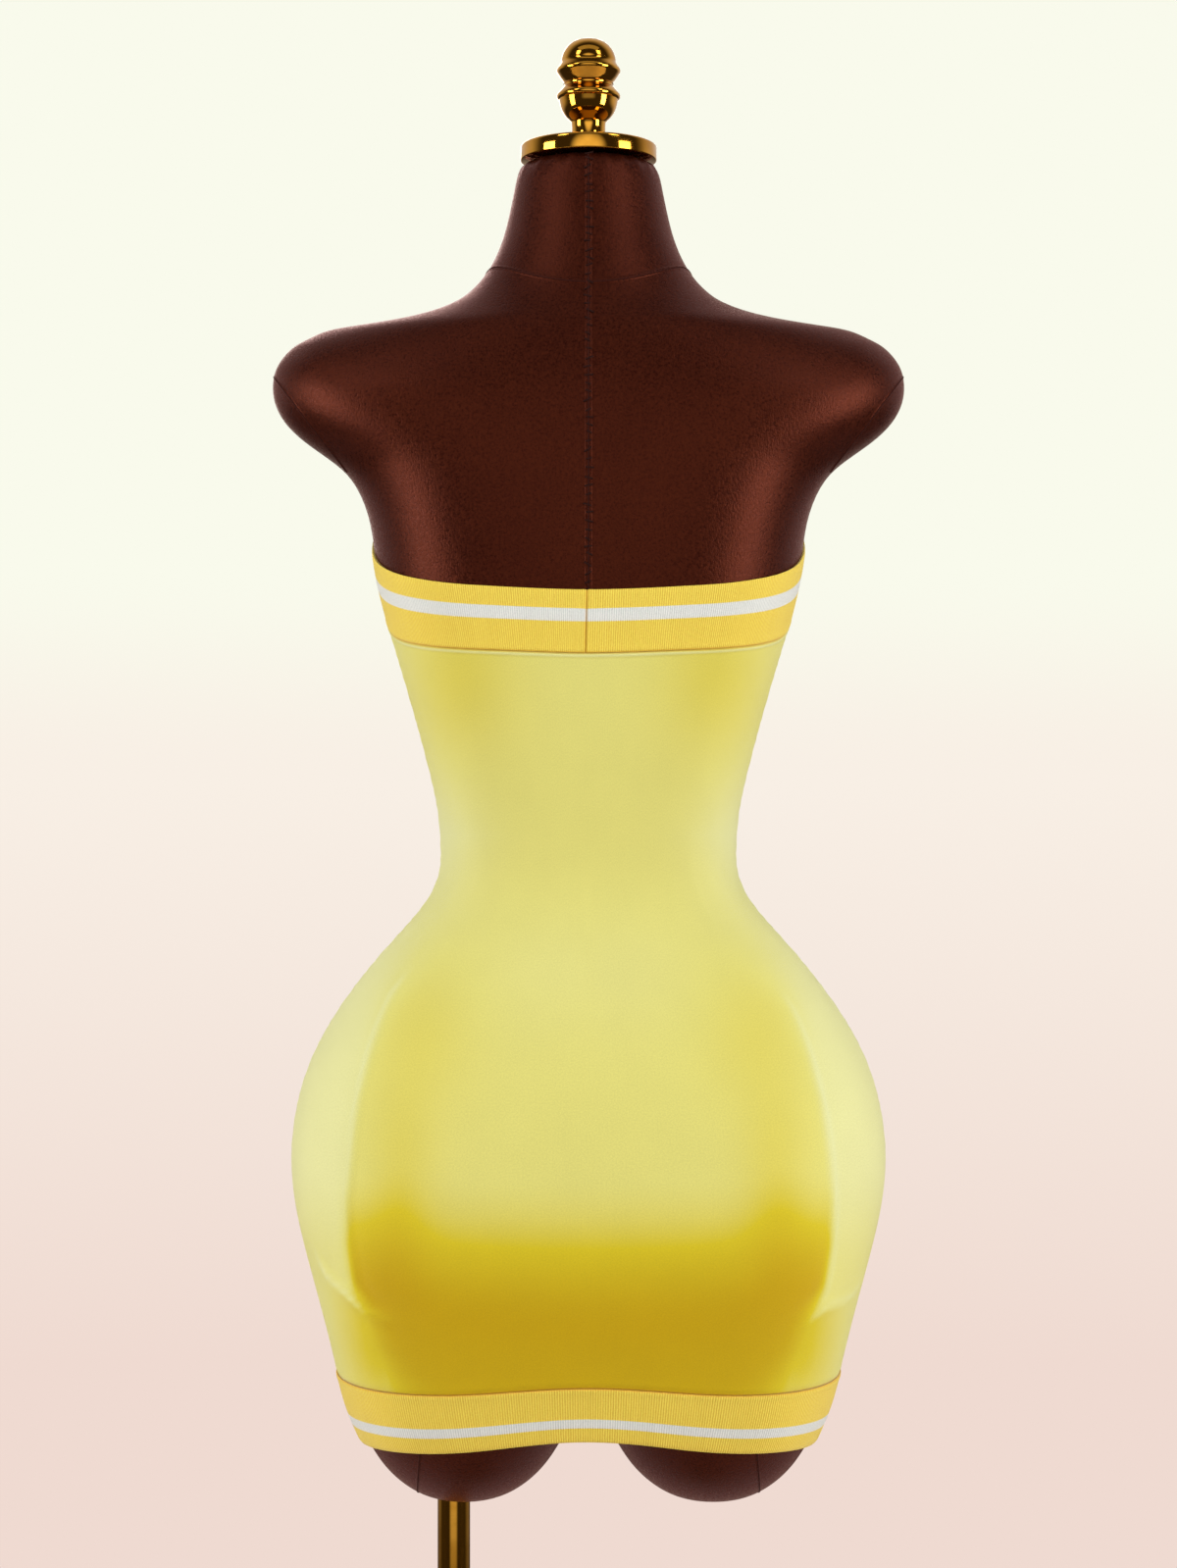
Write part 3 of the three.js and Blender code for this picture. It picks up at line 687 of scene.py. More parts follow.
def hill(value, middle, wide):
    """A smooth hill, 1 at its middle"""
    return math.exp(-(((value - middle) / wide) ** 2))


def smooth_share(value):
    """A share held between 0 and 1, with smooth ends"""
    value = max(0.0, min(1.0, value))
    return value * value * (3 - 2 * value)


def wandering_wave(at, pace, wander):
    """A wave between -1 and 1 whose pace wanders, so that no two crests are alike"""
    return math.sin(at * pace + 2 * math.sin(at * wander))


def profile(points, at):
    """Height at a distance along a profile of distances and heights, with smooth steps"""
    for (a, low), (b, high) in zip(points, points[1:]):
        if at <= b:
            return low + (high - low) * smooth_share((at - a) / (b - a))
    return 0.0


# Creases and seams of the cloth

# Where the edge of the form's hip pad lifts the cloth, across and up in millimetres, and the short
# crescent that meets it under the seat; each with its own height, as a share of the setting
HIP_LINES = {
    "left": {
        "tall": 1.2,
        "spread": 17,
        "route": [
            (122, 999), (134, 982), (142, 964), (149, 942), (155, 914), (159, 876), (162, 848),
            (161, 819), (156, 790), (146, 775), (137, 766),
        ],
    },
    "right": {
        "tall": 1.0,
        "spread": 17,
        "route": [
            (-130, 985), (-139, 972), (-147, 952), (-155, 924), (-162, 889), (-165, 850),
            (-164, 813), (-159, 783), (-150, 770), (-139, 761),
        ],
    },
    "left_crescent": {
        "tall": 1.5,
        "spread": 6,
        "route": [
            (187, 810), (182, 800), (176, 792), (164, 785), (153, 778), (145, 773), (127, 770),
        ],
    },
    "right_crescent": {
        "tall": 1.2,
        "spread": 6,
        "route": [(-187, 784), (-181, 779), (-174, 776), (-159, 775), (-148, 769), (-139, 763)],
    },
}

# The form of a hip line in millimetres: how far it reaches, how far its ends run out, its fall on
# the inner side and the shallow trough beside that; the front's lines are lower by a share
LINE_REACH = 40
LINE_END = 24
LINE_FALL = 4
TROUGH = {"off": 8, "wide": 5, "deep": 0.35}
FRONT_SHARE = 0.8

# How far to each side of a line a painted highlight runs, and how far that runs out at its ends
LINE_HIGHLIGHT_WIDE = 2.6
LINE_HIGHLIGHT_END = 16

# Fine upright wrinkles where the cloth narrows at the waist, in millimetres; below a height they
# fan out, by as much again in a length
FAN_FROM = 1060
FAN_LENGTH = 160
WAIST_WRINKLES = [
    {"across": -70, "up": 1052, "half": 38, "wide": 4.0, "tall": 0.38},
    {"across": -52, "up": 1074, "half": 60, "wide": 5.0, "tall": 0.32},
    {"across": -27, "up": 1044, "half": 44, "wide": 3.6, "tall": 0.42},
    {"across": -9, "up": 1088, "half": 66, "wide": 5.5, "tall": 0.26},
    {"across": 3, "up": 1038, "half": 34, "wide": 3.4, "tall": 0.38},
    {"across": 18, "up": 1060, "half": 52, "wide": 4.2, "tall": 0.42},
    {"across": 35, "up": 1082, "half": 58, "wide": 5.0, "tall": 0.29},
    {"across": 55, "up": 1046, "half": 42, "wide": 3.8, "tall": 0.42},
    {"across": 74, "up": 1066, "half": 36, "wide": 4.0, "tall": 0.29},
]

# Height of the cloth by distance in from each kind of seam, in millimetres
UNDER_TOP_SEAM = [(0, -0.5), (0.6, 0.4), (1.4, 0.95), (2.4, 0.55), (3.8, 0), (10, 0)]
OVER_HEM_SEAM = [(0, -0.4), (1.4, -0.1), (3.6, 0.15), (8, 0)]
SIDE_SEAM = [(0, -0.8), (1.4, 0.2), (3.2, 0.25), (7, 0)]
BAND_AT_SEAM = [(0, -0.3), (1.0, 0.2), (2.4, 0.35), (5.0, 0.05), (8, 0)]
BAND_JOIN = [(0, -0.9), (1.2, 0.35), (2.6, 0.5), (5.5, 0)]


def hip_ridges(surface, from_back):
    """The hip lines as routes on a surface, each with its side and its height"""
    way = Vector((0, -1 if from_back else 1, 0))
    ridges = []
    for row in HIP_LINES.values():
        points = []
        for across, up in row["route"]:
            hit = surface.ray_cast(Vector((across * MM, -way.y * OUTSIDE, up * MM)), way)[0]
            if hit is not None:
                points.append(hit)
        if len(points) > 3:
            side = 1 if row["route"][0][0] > 0 else -1
            tall = row["tall"] * size_mm("hip_line") * (1.0 if from_back else FRONT_SHARE)
            ridges.append((points, side, tall, row["spread"]))
    return ridges


def nearest_on_route(place, points):
    """The gap from the nearest point of a route to a place, and the route's direction there"""
    least, nearest = math.inf, None
    for a, b in zip(points, points[1:]):
        along = b - a
        share = max(0.0, min(1.0, (place - a).dot(along) / along.length_squared))
        gap = place - (a + along * share)
        if gap.length < least:
            least, nearest = gap.length, (gap, along)
    return nearest


def from_ends(place, points):
    """How far a place is from the nearer end of a route, in millimetres"""
    return min((place - points[0]).length, (place - points[-1]).length) / MM


def line_highlight_share(place, points):
    """How strong the painted highlight along a line is at a place, from 1 on it to 0 a few
    millimetres off
    """
    distance = nearest_on_route(place, points)[0].length / MM
    return hill(distance, 0, LINE_HIGHLIGHT_WIDE) * min(1.0, from_ends(place, points) / LINE_HIGHLIGHT_END)


def ridge_height(place, points, side, tall, spread):
    """Height of a hip line at a place: a step up to its outer side that fades away from it"""
    gap, along = nearest_on_route(place, points)
    distance = gap.length / MM
    if distance > LINE_REACH:
        return 0.0
    tall *= min(1.0, from_ends(place, points) / LINE_END)
    if (gap.x * -along.z + gap.z * along.x) * side > 0:
        return tall * hill(distance, 0, spread)
    trough = TROUGH["deep"] * hill(distance, TROUGH["off"], TROUGH["wide"])
    return tall * (hill(distance, 0, LINE_FALL) - trough)


def wrinkle_height(place):
    """Height of the waist's wrinkles, which fan out a little below it"""
    total = 0.0
    across, up = place.x / MM, place.z / MM
    for row in WAIST_WRINKLES:
        share = (up - row["up"]) / row["half"]
        if abs(share) < 1:
            fan = 1.0 + max(0.0, (FAN_FROM - up) / FAN_LENGTH)
            beside = hill(across, row["across"] * fan, row["wide"])
            total += row["tall"] * beside * (1 - share * share) ** 2
    return total


# Half width of the area that the hip lines enclose, by height, and how soft its edge is, all in
# millimetres. Outside it the knit is painted pale for sheen and side light; above the hip lines
# the rows narrow it at the waist, so that the waist's sides are painted pale too
ENCLOSED = [
    {"up": 640, "half": 119, "soft": 34},
    {"up": 715, "half": 127, "soft": 24},
    {"up": 731, "half": 134, "soft": 16},
    {"up": 748, "half": 143, "soft": 12},
    {"up": 772, "half": 149, "soft": 8},
    {"up": 790, "half": 157, "soft": 2.5},
    {"up": 819, "half": 162, "soft": 2.5},
    {"up": 848, "half": 163, "soft": 2.5},
    {"up": 876, "half": 160, "soft": 2.5},
    {"up": 914, "half": 155, "soft": 3},
    {"up": 942, "half": 148, "soft": 4},
    {"up": 972, "half": 139, "soft": 8},
    {"up": 999, "half": 126, "soft": 18},
    {"up": 1040, "half": 116, "soft": 32},
    {"up": 1090, "half": 86, "soft": 26},
    {"up": 1150, "half": 134, "soft": 32},
    {"up": 1240, "half": 220, "soft": 60},
]

# Soft patches of painted shade, or of painted light below 0, alike left and right
SHADE_AND_LIGHT_PATCHES = [
    {"across": 87, "up": 1200, "wide": 38, "tall": 54, "more": 0.17},
    {"across": 110, "up": 958, "wide": 34, "tall": 48, "more": 0.1},
    {"across": 125, "up": 895, "wide": 26, "tall": 45, "more": 0.065},
    {"across": 100, "up": 1085, "wide": 26, "tall": 50, "more": -0.08},
    {"across": 20, "up": 1000, "wide": 60, "tall": 40, "more": -0.06},
]


def patch_shading(place):
    """What the soft patches of painted shade and light add at a place"""
    across, up = abs(place.x) / MM, place.z / MM
    total = 0.0
    for patch in SHADE_AND_LIGHT_PATCHES:
        beside = hill(across, patch["across"], patch["wide"])
        total += patch["more"] * beside * hill(up, patch["up"], patch["tall"])
    return total


def enclosed_share(place):
    """Whether a place lies inside the hip lines, 1, or outside them, 0"""
    up = place.z / MM
    for low, high in zip(ENCLOSED, ENCLOSED[1:]):
        if up <= high["up"]:
            share = max(0.0, (up - low["up"]) / (high["up"] - low["up"]))
            half, soft = (low[key] + (high[key] - low[key]) * share for key in ("half", "soft"))
            # held within what exp can take
            outward = max(-30, min(30, 2 * (abs(place.x) / MM - half) / soft))
            return 1 / (1 + math.exp(outward))
    return 1.0


def crescent_up(place):
    """The height of the crescent's route at a place's distance across, in millimetres"""
    across = place.x / MM
    route = HIP_LINES["left_crescent" if across > 0 else "right_crescent"]["route"]
    points = sorted((abs(a), up) for a, up in route)
    for (a, low), (b, high) in zip(points, points[1:]):
        if abs(across) <= b:
            return low + (high - low) * max(0.0, (abs(across) - a) / (b - a))
    return points[-1][1]


# Painted shade and light on the knit, from 0, painted pale, to 1, painted gold shade: some
# anywhere, more inside the hip lines, most where it also leans in and faces down, and less by a
# share on a line, where a painted highlight runs
PAINTED_SHADE_LEAST = 0.06
PAINTED_SHADE_INSIDE = 0.24
PAINTED_SHADE_LEANING = (0.2, 0.5)
PAINTED_LINE_HIGHLIGHT = 0.14

# The bowl of painted shade under the seat at the back, in millimetres: where it starts and how soon
# it is full, in the middle and that much sooner at the half width of the seat
BOWL_UP = 868
BOWL_DEEP = 106
BOWL_SOONER = 16
BOWL_HALF = 139
BOWL_HUMP = {"across": 127, "wide": 20, "tall": 9}

# Above the hem the painted shade is a little less, and the flank beside the bowl has painted shade
# too
HEM_SIDE = {"up": 790, "deep": 80, "less": 0.1}
FLANK = {"across": 122, "wide": 22, "up": 856, "tall": 46, "more": 0.13}

# What lies below the crescents is as deep in tone as the inside, with no painted pale, by a share
# that fades down and outwards
CRESCENT = {"share": 0.55, "deep": 9, "start": 0.4}
CRESCENT_DOWN = {"up": 750, "deep": 60, "less": 0.6}
CRESCENT_OUT = {"across": 140, "wide": 46}

# At the front there is painted shade where the belly turns in below and the cloth faces down: how
# much at most, from which lean of the cloth, and below which height in millimetres
BELLY = {"most": 0.5, "lean": 0.05, "lean_wide": 0.25, "up": 950, "deep": 140}


def back_painted_shade(across, up, crescent):
    """How much painted shade the knit has where it leans in under the seat at the back, and how far
    a place lies below a crescent
    """
    hump = BOWL_HUMP["tall"] * hill(across, BOWL_HUMP["across"], BOWL_HUMP["wide"])
    deep = BOWL_DEEP - BOWL_SOONER * (across / BOWL_HALF) ** 2
    bowl = smooth_share((BOWL_UP + hump - up) / deep)
    less_shade_by_hem = HEM_SIDE["less"] * smooth_share((HEM_SIDE["up"] - up) / HEM_SIDE["deep"])
    flank = hill(across, FLANK["across"], FLANK["wide"]) * hill(up, FLANK["up"], FLANK["tall"])
    below = smooth_share((crescent - up) / CRESCENT["deep"] + CRESCENT["start"])
    down = smooth_share((CRESCENT_DOWN["up"] - up) / CRESCENT_DOWN["deep"])
    out = smooth_share((across - CRESCENT_OUT["across"]) / CRESCENT_OUT["wide"])
    below *= (1 - CRESCENT_DOWN["less"] * down) * (1 - out)
    return min(1.0, bowl * (1.0 - less_shade_by_hem) + FLANK["more"] * flank), CRESCENT["share"] * below


def mark_painted_shading(made, ridges, from_back):
    """Notes on each point the painted shade and light of the knit's colour: a painted highlight on
    the hip lines, painted shade under the seat
    """
    layer = made.data.attributes.new("slack", "FLOAT", "POINT")
    for spot, v, turn in zip(layer.data, made.data.vertices, made.data.vertex_normals):
        across, up = abs(v.co.x) / MM, v.co.z / MM
        # outside the hip lines and at the waist's sides the knit is painted pale, for sheen and
        # side light
        inside = enclosed_share(v.co)
        if from_back:
            lean, below = back_painted_shade(across, up, crescent_up(v.co))
            inside = max(inside, below)
        else:
            # painted shade where the cloth's normal turns down
            turned = (BELLY["lean"] - turn.vector.z) / BELLY["lean_wide"]
            lean = BELLY["most"] * smooth_share(min(turned, (BELLY["up"] - up) / BELLY["deep"]))
        # a painted highlight along each hip line
        line_highlight = max((line_highlight_share(v.co, points) * tall for points, _, tall, _ in ridges), default=0.0)
        leaning = lean * (PAINTED_SHADE_LEANING[0] + PAINTED_SHADE_LEANING[1] * inside)
        value = PAINTED_SHADE_LEAST + PAINTED_SHADE_INSIDE * inside + leaning - PAINTED_LINE_HIGHLIGHT * line_highlight
        spot.value = max(0.0, min(1.0, value + patch_shading(v.co)))


# Where rows of points are added along the edges of the cloth: which map and which of its axes, how
# far in, in millimetres, and how many rows for one
PANEL_ROWS = [("rims", 1, 11, 3), ("cloth", 1, 9, 3), ("rims", 0, 8, 3)]
BAND_ROWS_ABOVE_SEAM = ("cloth", 1, 8, 2)
BAND_ROWS_BELOW_SEAM = ("rims", 1, 8, 2)
BAND_JOIN_ROWS = ("rims", 0, 8, 3)

# How far an edge is carried on under the next piece, in millimetres: at a side, which is where the
# way to it is below a limit, and at a panel's top and hem
SIDE_LIMIT = 0.05
SIDE_TUCK = 0.2
PANEL_TUCK = 0.9

# Unevenness: height in millimetres, size as parts in each metre, and how far it fades to an edge
PANEL_WAVE = {"tall": 0.12, "parts": 22, "fade": 20}
BAND_WAVE = {"tall": 0.35, "parts": 26, "fade": 10}

# The side seams pucker in waves about 11 mm long, in millimetres and radians for each of them
PUCKER = {"tall": 0.2, "wide": 6, "pace": 0.55, "wander": 0.13}

# A band's fold is rolled in, by millimetres; its own join is flatter on one side, and its edges are
# rounded, both given in metres
FOLD_ROLL = {"deep": 0.35, "wide": 1.5}
JOIN_SIDE = {"from": 0.0012, "share": 0.55}
BAND_EDGE = 0.0007


def sew_panel(name, node, from_back):
    """A jersey panel: a thin shell with hip lines, wrinkles and rolled seam edges"""
    bm = outer_sheet(node)
    lay_out_maps(bm)
    made = soften(finished(name, bm, bpy.data.materials["viscose_jersey_plain_knit"]), 3)
    ridges = hip_ridges(surface_of(made), from_back)
    mark_painted_shading(made, ridges, from_back)

    def lift(place, across, up, side, down):
        total = sum(ridge_height(place, *ridge) for ridge in ridges) + wrinkle_height(place)
        inward = min(1.0, up / PANEL_WAVE["fade"], down / PANEL_WAVE["fade"])
        total += PANEL_WAVE["tall"] * noise.noise(place * PANEL_WAVE["parts"]) * inward
        total += profile(UNDER_TOP_SEAM, down) + profile(OVER_HEM_SEAM, up)
        pucker = PUCKER["tall"] * wandering_wave(up, PUCKER["pace"], PUCKER["wander"])
        return total + profile(SIDE_SEAM, side) + pucker * hill(side, 0, PUCKER["wide"])

    def tuck(across, up, side, down):
        return SIDE_TUCK if side < SIDE_LIMIT else PANEL_TUCK

    shaped(made, lift, PANEL_ROWS, tuck)
    add_modifier(made, "SOLIDIFY", thickness=size_mm("jersey_thick") * MM, offset=-1.0)
    return apply_modifiers(made)


def sew_band(name, node, material, seam_is_low):
    """A rib band: a folded strip with a round fold, drawn in at its seam and at its own join"""
    bm = outer_sheet(node)
    lay_out_maps(bm, size_mm("rib_pitch"), size_mm("band_width"))
    made = soften(finished(name, bm, material), 3)

    def lift(place, across, up, side, down):
        from_seam, from_fold = (up, down) if seam_is_low else (down, up)
        flatter = 1.0 if place.x > JOIN_SIDE["from"] else JOIN_SIDE["share"]
        inward = min(1.0, from_seam / BAND_WAVE["fade"])
        wave = BAND_WAVE["tall"] * noise.noise(place * BAND_WAVE["parts"]) * inward
        roll = FOLD_ROLL["deep"] * hill(from_fold, 0, FOLD_ROLL["wide"])
        return profile(BAND_AT_SEAM, from_seam) + profile(BAND_JOIN, side) * flatter + wave - roll

    def tuck(across, up, side, down):
        return SIDE_TUCK if side < SIDE_LIMIT else 0.0

    near_seam = BAND_ROWS_ABOVE_SEAM if seam_is_low else BAND_ROWS_BELOW_SEAM
    shaped(made, lift, [near_seam, BAND_JOIN_ROWS], tuck)
    add_modifier(made, "SOLIDIFY", thickness=size_mm("rib_thick") * MM, offset=-1.0)
    add_modifier(
        made,
        "BEVEL",
        width=BAND_EDGE,
        segments=2,
        affect="EDGES",
        profile=0.5,
        limit_method="ANGLE",
        angle_limit=math.radians(50),
    )
    return apply_modifiers(made)


# The form's cover

# Where the satin is eased from the back over the shoulders, in millimetres: each edge of that part
# and how far it fades there
EASED_BEHIND = (14, 24)
EASED_ABOVE = (1392, 26)
EASED_BELOW = (1515, 30)
EASED_WITHIN = (190, 40)
EASE_ROUNDS = 90
EASE_STEP = 0.5

# Where cloth hides the satin and it is a little slimmer, in metres: from above the hem band to
# below the top band's seam, and how far that fades
HIDDEN_ABOVE_HEM = 0.03
HIDDEN_BELOW_TOP = 0.005
HIDDEN_FADE = 0.02
HIDDEN_SLIMMER = 0.001


def ease_shoulders(bm):
    """Lets the stretched satin run smoothly from the back over the shoulders to the neck"""
    weights = {}
    for v in bm.verts:
        across, behind, up = abs(v.co.x) / MM, v.co.y / MM, v.co.z / MM
        weight = smooth_share((behind - EASED_BEHIND[0]) / EASED_BEHIND[1])
        weight *= smooth_share((up - EASED_ABOVE[0]) / EASED_ABOVE[1])
        weight *= smooth_share((EASED_BELOW[0] - up) / EASED_BELOW[1])
        weight *= smooth_share((EASED_WITHIN[0] - across) / EASED_WITHIN[1])
        if weight > 0:
            weights[v] = weight * EASE_STEP
    ways = {v: [e.other_vert(v) for e in v.link_edges] for v in weights}
    for _ in range(EASE_ROUNDS):
        middles = {v: sum((o.co for o in near), Vector()) / len(near) for v, near in ways.items()}
        for v, middle in middles.items():
            v.co = v.co.lerp(middle, weights[v])


def cover_form():
    """The form's satin cover: a smooth skin on the solid, a little slimmer where cloth hides it"""
    bm = take_form("form_body")
    make_quads(bm)
    made = soften(finished("satin_cover", bm, bpy.data.materials["stretch_satin_woven"]), 2)
    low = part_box("hem_band")[0].z + HIDDEN_ABOVE_HEM
    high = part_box("top_band")[0].z - HIDDEN_BELOW_TOP
    bm = bmesh.new()
    bm.from_mesh(made.data)
    bm.normal_update()
    for v in bm.verts:
        inward = min(v.co.z - low, high - v.co.z) / HIDDEN_FADE
        v.co -= v.normal * max(0.0, min(1.0, inward)) * HIDDEN_SLIMMER
    ease_shoulders(bm)
    bm.to_mesh(made.data)
    bm.free()
    return made


def plane_route(made, point, normal, keep):
    """The line where a plane cuts a mesh, as points that pass a test, from its highest end"""
    bm = bmesh.new()
    bm.from_mesh(made.data)
    cut = bmesh.ops.bisect_plane(
        bm,
        geom=bm.verts[:] + bm.edges[:] + bm.faces[:],
        plane_co=point,
        plane_no=normal,
        clear_inner=True,
        clear_outer=True,
    )
    left = {g for g in cut["geom_cut"] if isinstance(g, bmesh.types.BMVert) and keep(g.co)}
    lines = []
    while left:
        ends = [v for v in left if sum(e.other_vert(v) in left for e in v.link_edges) < 2]
        step = max(ends or left, key=lambda v: (v.co.z, v.co.y, v.co.x))
        line = []
        while step is not None:
            line.append(step.co.copy())
            left.discard(step)
            onward = (e.other_vert(step) for e in step.link_edges)
            step = next((v for v in onward if v in left), None)
        lines.append(line)
    bm.free()
    return max(lines, key=len)


# The neck seam in millimetres: its height at the nape, and how it drops with the square of the way
# from a line behind the middle; its height is found in a few rounds
NECK_POINTS = 96
NAPE_UP = 1484
NECK_DROP = 0.0073
NECK_LINE = 20
NECK_START = 1470
NECK_ROUNDS = 4


def neck_route(surface):
    """The seam round the foot of the neck: highest at the nape and lower at the front"""
    points = []
    for i in range(NECK_POINTS + 1):
        angle = TURN * i / NECK_POINTS
        way = Vector((math.cos(angle), math.sin(angle), 0))
        height = NECK_START
        for _ in range(NECK_ROUNDS):
            hit = surface.ray_cast(way * OUTSIDE + Vector((0, 0, height * MM)), -way)[0]
            height = NAPE_UP - NECK_DROP * (hit.y / MM - NECK_LINE) ** 2
        points.append(hit)
    return points


def evened(points, gap, rounds=3):
    """Points at even steps along a route, smoothed in a few rounds"""
    for _ in range(rounds):
        inner = [(a + b * 2 + c) / 4 for a, b, c in zip(points, points[1:], points[2:])]
        points = [points[0], *inner, points[-1]]
    made, walked = [points[0]], 0.0
    for a, b in zip(points, points[1:]):
        length = (b - a).length
        while walked + length >= gap * MM:
            a = a + (b - a).normalized() * (gap * MM - walked)
            made.append(a)
            length = (b - a).length
            walked = 0.0
        walked += length
    return made


def frames_along(route, surface):
    """Each point of a route with its direction, the surface's normal and the sideways direction"""
    for i, place in enumerate(route):
        along = (route[min(i + 1, len(route) - 1)] - route[max(i - 1, 0)]).normalized()
        spot, normal = surface.find_nearest(place)[:2]
        yield spot, along, normal, along.cross(normal).normalized()


# Section of a cover seam: the satin puffs up on both sides of the stitched line
SEAM_SECTION = [
    (-1.0, -0.35), (-0.72, 0.1), (-0.4, 0.42), (-0.14, 0.3), (0, 0.02), (0.14, 0.3), (0.4, 0.42),
    (0.72, 0.1), (1.0, -0.35),
]

# Its puffs swell by a share in waves of four or five steps, and its wall is as thick, in metres
SEAM_SWELL = {"share": 0.3, "pace": 1.4, "wander": 0.37}
SEAM_THICK = 0.0006


def seam_strip(name, route, surface, half_width, tall, material):
    """A puffed seam along a route on a surface, its edges sunk under the satin"""
    bm = bmesh.new()
    count = len(route)
    grid = bmesh.ops.create_grid(
        bm, x_segments=count - 1, y_segments=len(SEAM_SECTION) - 1, size=1
    )["verts"]
    for i, (spot, along, normal, side) in enumerate(frames_along(route, surface)):
        wave = wandering_wave(i, SEAM_SWELL["pace"], SEAM_SWELL["wander"])
        swell = tall * (1 + SEAM_SWELL["share"] * wave)
        for j, (offset, height) in enumerate(SEAM_SECTION):
            place, normal_here = surface.find_nearest(spot + side * offset * half_width * MM)[:2]
            rise = height * (swell if height > 0 else 1.0)
            grid[i + j * count].co = place + normal_here * rise * MM
    bmesh.ops.recalc_face_normals(bm, faces=bm.faces)
    made = finished(name, bm, material)
    middle = made.data.polygons[len(made.data.polygons) // 2]
    inward = middle.normal.dot(surface.find_nearest(middle.center)[1]) < 0
    add_modifier(made, "SOLIDIFY", thickness=SEAM_THICK, offset=1.0 if inward else -1.0)
    return apply_modifiers(made)


def thread_cord(name, route, surface, thick, rise, material):
    """A thread laid along a route on a surface"""
    curve = bpy.data.curves.new(name, "CURVE")
    curve.dimensions = "3D"
    curve.bevel_depth = thick / 2 * MM
    curve.bevel_resolution = 1
    curve.use_fill_caps = True
    line = curve.splines.new("POLY")
    line.points.add(len(route) - 1)
    for point, (spot, along, normal, side) in zip(line.points, frames_along(route, surface)):
        point.co = (*(spot + normal * rise * MM), 1.0)
    holder = bpy.data.objects.new(name, curve)
    bpy.context.scene.collection.objects.link(holder)
    graph = bpy.context.evaluated_depsgraph_get()
    mesh = bpy.data.meshes.new_from_object(holder.evaluated_get(graph))
    bpy.data.objects.remove(holder)
    bpy.data.curves.remove(curve)
    bm = bmesh.new()
    bm.from_mesh(mesh)
    bpy.data.meshes.remove(mesh)
    bmesh.ops.recalc_face_normals(bm, faces=bm.faces)
    return finished(name, bm, material)


# The hand stitches in millimetres: radius, half length, way from one to the next, lean along the
# seam as a share, and how far each is moved aside and raised; they lie on a route of small steps
STITCH_RADIUS = 0.58
STITCH_HALF = (1.9, 3.0)
STITCH_APART = (4.4, 6.6)
STITCH_LEAN = 0.7
STITCH_ASIDE = 1.0
STITCH_UP = 0.5
STITCH_STEP = 1.0


def hand_stitches(name, route, surface, material):
    """Uneven whip stitches over a seam, as one piece"""
    rng = random.Random(7)
    bm = bmesh.new()
    wait = 0.0
    for spot, along, normal, side in frames_along(route, surface):
        wait -= STITCH_STEP
        if wait > 0:
            continue
        wait = rng.uniform(*STITCH_APART)
        lean = (side + along * rng.uniform(-STITCH_LEAN, STITCH_LEAN)).normalized()
        lean *= rng.uniform(*STITCH_HALF) * MM
        made = bmesh.ops.create_cone(
            bm,
            cap_ends=True,
            segments=8,
            radius1=STITCH_RADIUS * MM,
            radius2=STITCH_RADIUS * MM,
            depth=lean.length * 2,
        )["verts"]
        turn = Vector((0, 0, 1)).rotation_difference(lean).to_matrix()
        bmesh.ops.rotate(bm, verts=made, cent=(0, 0, 0), matrix=turn)
        aside = side * rng.uniform(-STITCH_ASIDE, STITCH_ASIDE) * MM
        bmesh.ops.translate(bm, verts=made, vec=spot + normal * STITCH_UP * MM + aside)
    return finished(name, bm, material)


# Turned brass

TURN_STEPS = 96
CORNER_STEPS = 4


def turned_piece(name, outline, centre_x, material):
    """A piece turned on a lathe: an outline of radius and height in millimetres, spun round"""
    bm = bmesh.new()
    points = [bm.verts.new((r * MM, 0, z * MM)) for r, z in outline]
    edges = [bm.edges.new(pair) for pair in zip(points, points[1:])]
    bmesh.ops.spin(
        bm,
        geom=points + edges,
        cent=(0, 0, 0),
        axis=(0, 0, 1),
        angle=TURN,
        steps=TURN_STEPS,
        use_merge=True,
    )
    bmesh.ops.remove_doubles(bm, verts=bm.verts, dist=1e-6)
    bmesh.ops.recalc_face_normals(bm, faces=bm.faces)
    bmesh.ops.translate(bm, verts=bm.verts, vec=(centre_x, 0, 0))
    made = finished(name, bm, material)
    made.data.set_sharp_from_angle(angle=math.radians(38))
    return made


def rounded_corner(r, z, size, from_degrees):
    """Points of a quarter round about a corner's own centre"""
    degrees = [from_degrees + 90 * i / CORNER_STEPS for i in range(CORNER_STEPS + 1)]
    angles = [math.radians(each) for each in degrees]
    return [(r + size * math.cos(a), z + size * math.sin(a)) for a in angles]


def disc_outline(low, high, radius, edge):
    """A flat disc's outline with rounded edges, from the axis out and back to it"""
    small = edge * 0.4
    lower = rounded_corner(radius - small, low + small, small, -90)
    upper = rounded_corner(radius - edge, high - edge, edge, 0)
    return [(0, low), *lower, *upper, (0, high)]


